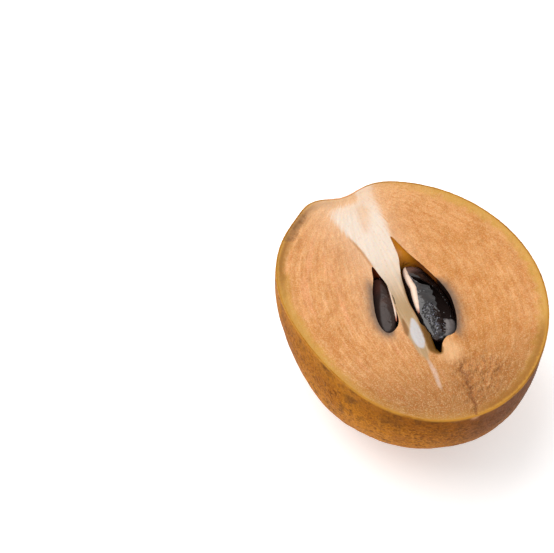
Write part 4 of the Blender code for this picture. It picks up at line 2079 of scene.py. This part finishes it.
@dataclass
class Studio:
    """Pale floor, soft light from the upper left, and the camera of the photograph."""

    half: HalfShape
    elevation: float = 50.0 * DEGREE
    azimuth: float = -31.0 * DEGREE
    roll: float = 12.0 * DEGREE
    distance: float = 700.0 * MM
    focal_pixels: float = 2800.0
    picture: Tuple[int, int] = (554, 553)
    aim: Pair = (-1.87, -1.93)
    aim_pixel: Pair = (411.0, 302.0)
    sensor: float = 36.0
    floor_reach: float = 3.0
    sky: float = 0.62
    softbox_place: Tuple[float, float, float] = (-0.45, 0.40, 0.80)
    softbox_size: float = 1.30
    softbox_power: float = 11.7
    softbox_colour: Tuple[float, float, float] = (1.0, 0.99, 0.98)

    def target(self) -> Vector:
        """Point of the cut face that the camera's place is measured from."""
        return Vector((self.aim[0] * MM + OFFSET[0], self.aim[1] * MM + OFFSET[1],
                       self.half.cut_height))

    def camera(self) -> bpy.types.Object:
        """Set up the camera, turned so that the target falls on its pixel with no shift.

        Returns:
            The camera.
        """
        back = Vector((math.sin(self.azimuth) * math.cos(self.elevation),
                       -math.cos(self.azimuth) * math.cos(self.elevation),
                       math.sin(self.elevation)))
        right = Vector((math.cos(self.azimuth), math.sin(self.azimuth), 0.0))
        up = back.cross(right)
        rolled_right = right * math.cos(self.roll) + up * math.sin(self.roll)
        rolled_up = up * math.cos(self.roll) - right * math.sin(self.roll)
        level = Matrix((rolled_right, rolled_up, back)).transposed()
        wide, high = self.picture
        towards = Vector(((self.aim_pixel[0] - 0.5 * wide) / self.focal_pixels,
                          (0.5 * high - self.aim_pixel[1]) / self.focal_pixels, -1.0)).normalized()
        turn = towards.rotation_difference(Vector((0.0, 0.0, -1.0))).to_matrix()
        lens = bpy.data.cameras.new("camera")
        lens.lens = self.sensor * self.focal_pixels / wide
        lens.sensor_width = self.sensor
        lens.clip_start = 10.0 * MM
        item = bpy.data.objects.new("camera", lens)
        item.matrix_world = Matrix.Translation(self.target() + back * self.distance) @ (
            level @ turn).to_4x4()
        bpy.context.scene.collection.objects.link(item)
        bpy.context.scene.camera = item
        return item

    def lamp(self, name: str, place: Tuple[float, float, float], size: float, power: float,
             colour: Tuple[float, float, float]) -> None:
        """Hang one square soft light that faces the half.

        Args:
            name: The lamp's name.
            place: Where it hangs, from the middle of the cut, in metres.
            size: Its width.
            power: Its power in watts.
            colour: Its colour.
        """
        light = bpy.data.lights.new(name, "AREA")
        light.size = size
        light.energy = power
        light.color = colour
        item = bpy.data.objects.new(name, light)
        item.location = self.target() + Vector(place)
        item.rotation_euler = (-Vector(place)).to_track_quat("-Z", "Y").to_euler()
        bpy.context.scene.collection.objects.link(item)

    def build(self) -> None:
        """Set up the floor, the lights, the world and the camera."""
        reach = self.floor_reach
        corners = np.array([(-reach, -reach, 0.0), (reach, -reach, 0.0), (reach, reach, 0.0),
                            (-reach, reach, 0.0)])
        floor = mesh_from("floor", corners, [(0, 1, 2, 3)])
        floor.data.materials.append(FloorFinish().build())
        world = bpy.data.worlds.new("studio")
        world.use_nodes = True
        ground = world.node_tree.nodes["Background"]
        ground.inputs["Color"].default_value = (1.0, 1.0, 1.0, 1.0)
        ground.inputs["Strength"].default_value = self.sky
        bpy.context.scene.world = world
        self.lamp("softbox", self.softbox_place, self.softbox_size, self.softbox_power,
                  self.softbox_colour)
        bpy.context.scene.view_settings.view_transform = "Standard"
        self.camera()


# The left seed lies in shade, so its coat hardly shines
SHADED_COAT = CoatFinish(black=tint(44, 27, 20), brown=tint(60, 36, 26), sheen=0.12)


def main() -> None:
    """Build the half, its seeds and the studio."""
    logging.basicConfig(level=logging.INFO, format="%(name)s: %(message)s")
    Studio(HALF).build()
    Flesh(HALF, (CHAMBER_RIGHT, CHAMBER_LEFT), FleshFinish()).build()
    Skin(HALF, SkinFinish()).build()
    Seed(SEED_RIGHT, HALF, Keeping.BROKEN, CoatFinish(), HilumFinish(), rings=200,
         sides=140).build()
    Seed(SEED_LEFT, HALF, Keeping.WHOLE, SHADED_COAT, HilumFinish()).build()


if __name__ == "__main__":
    main()
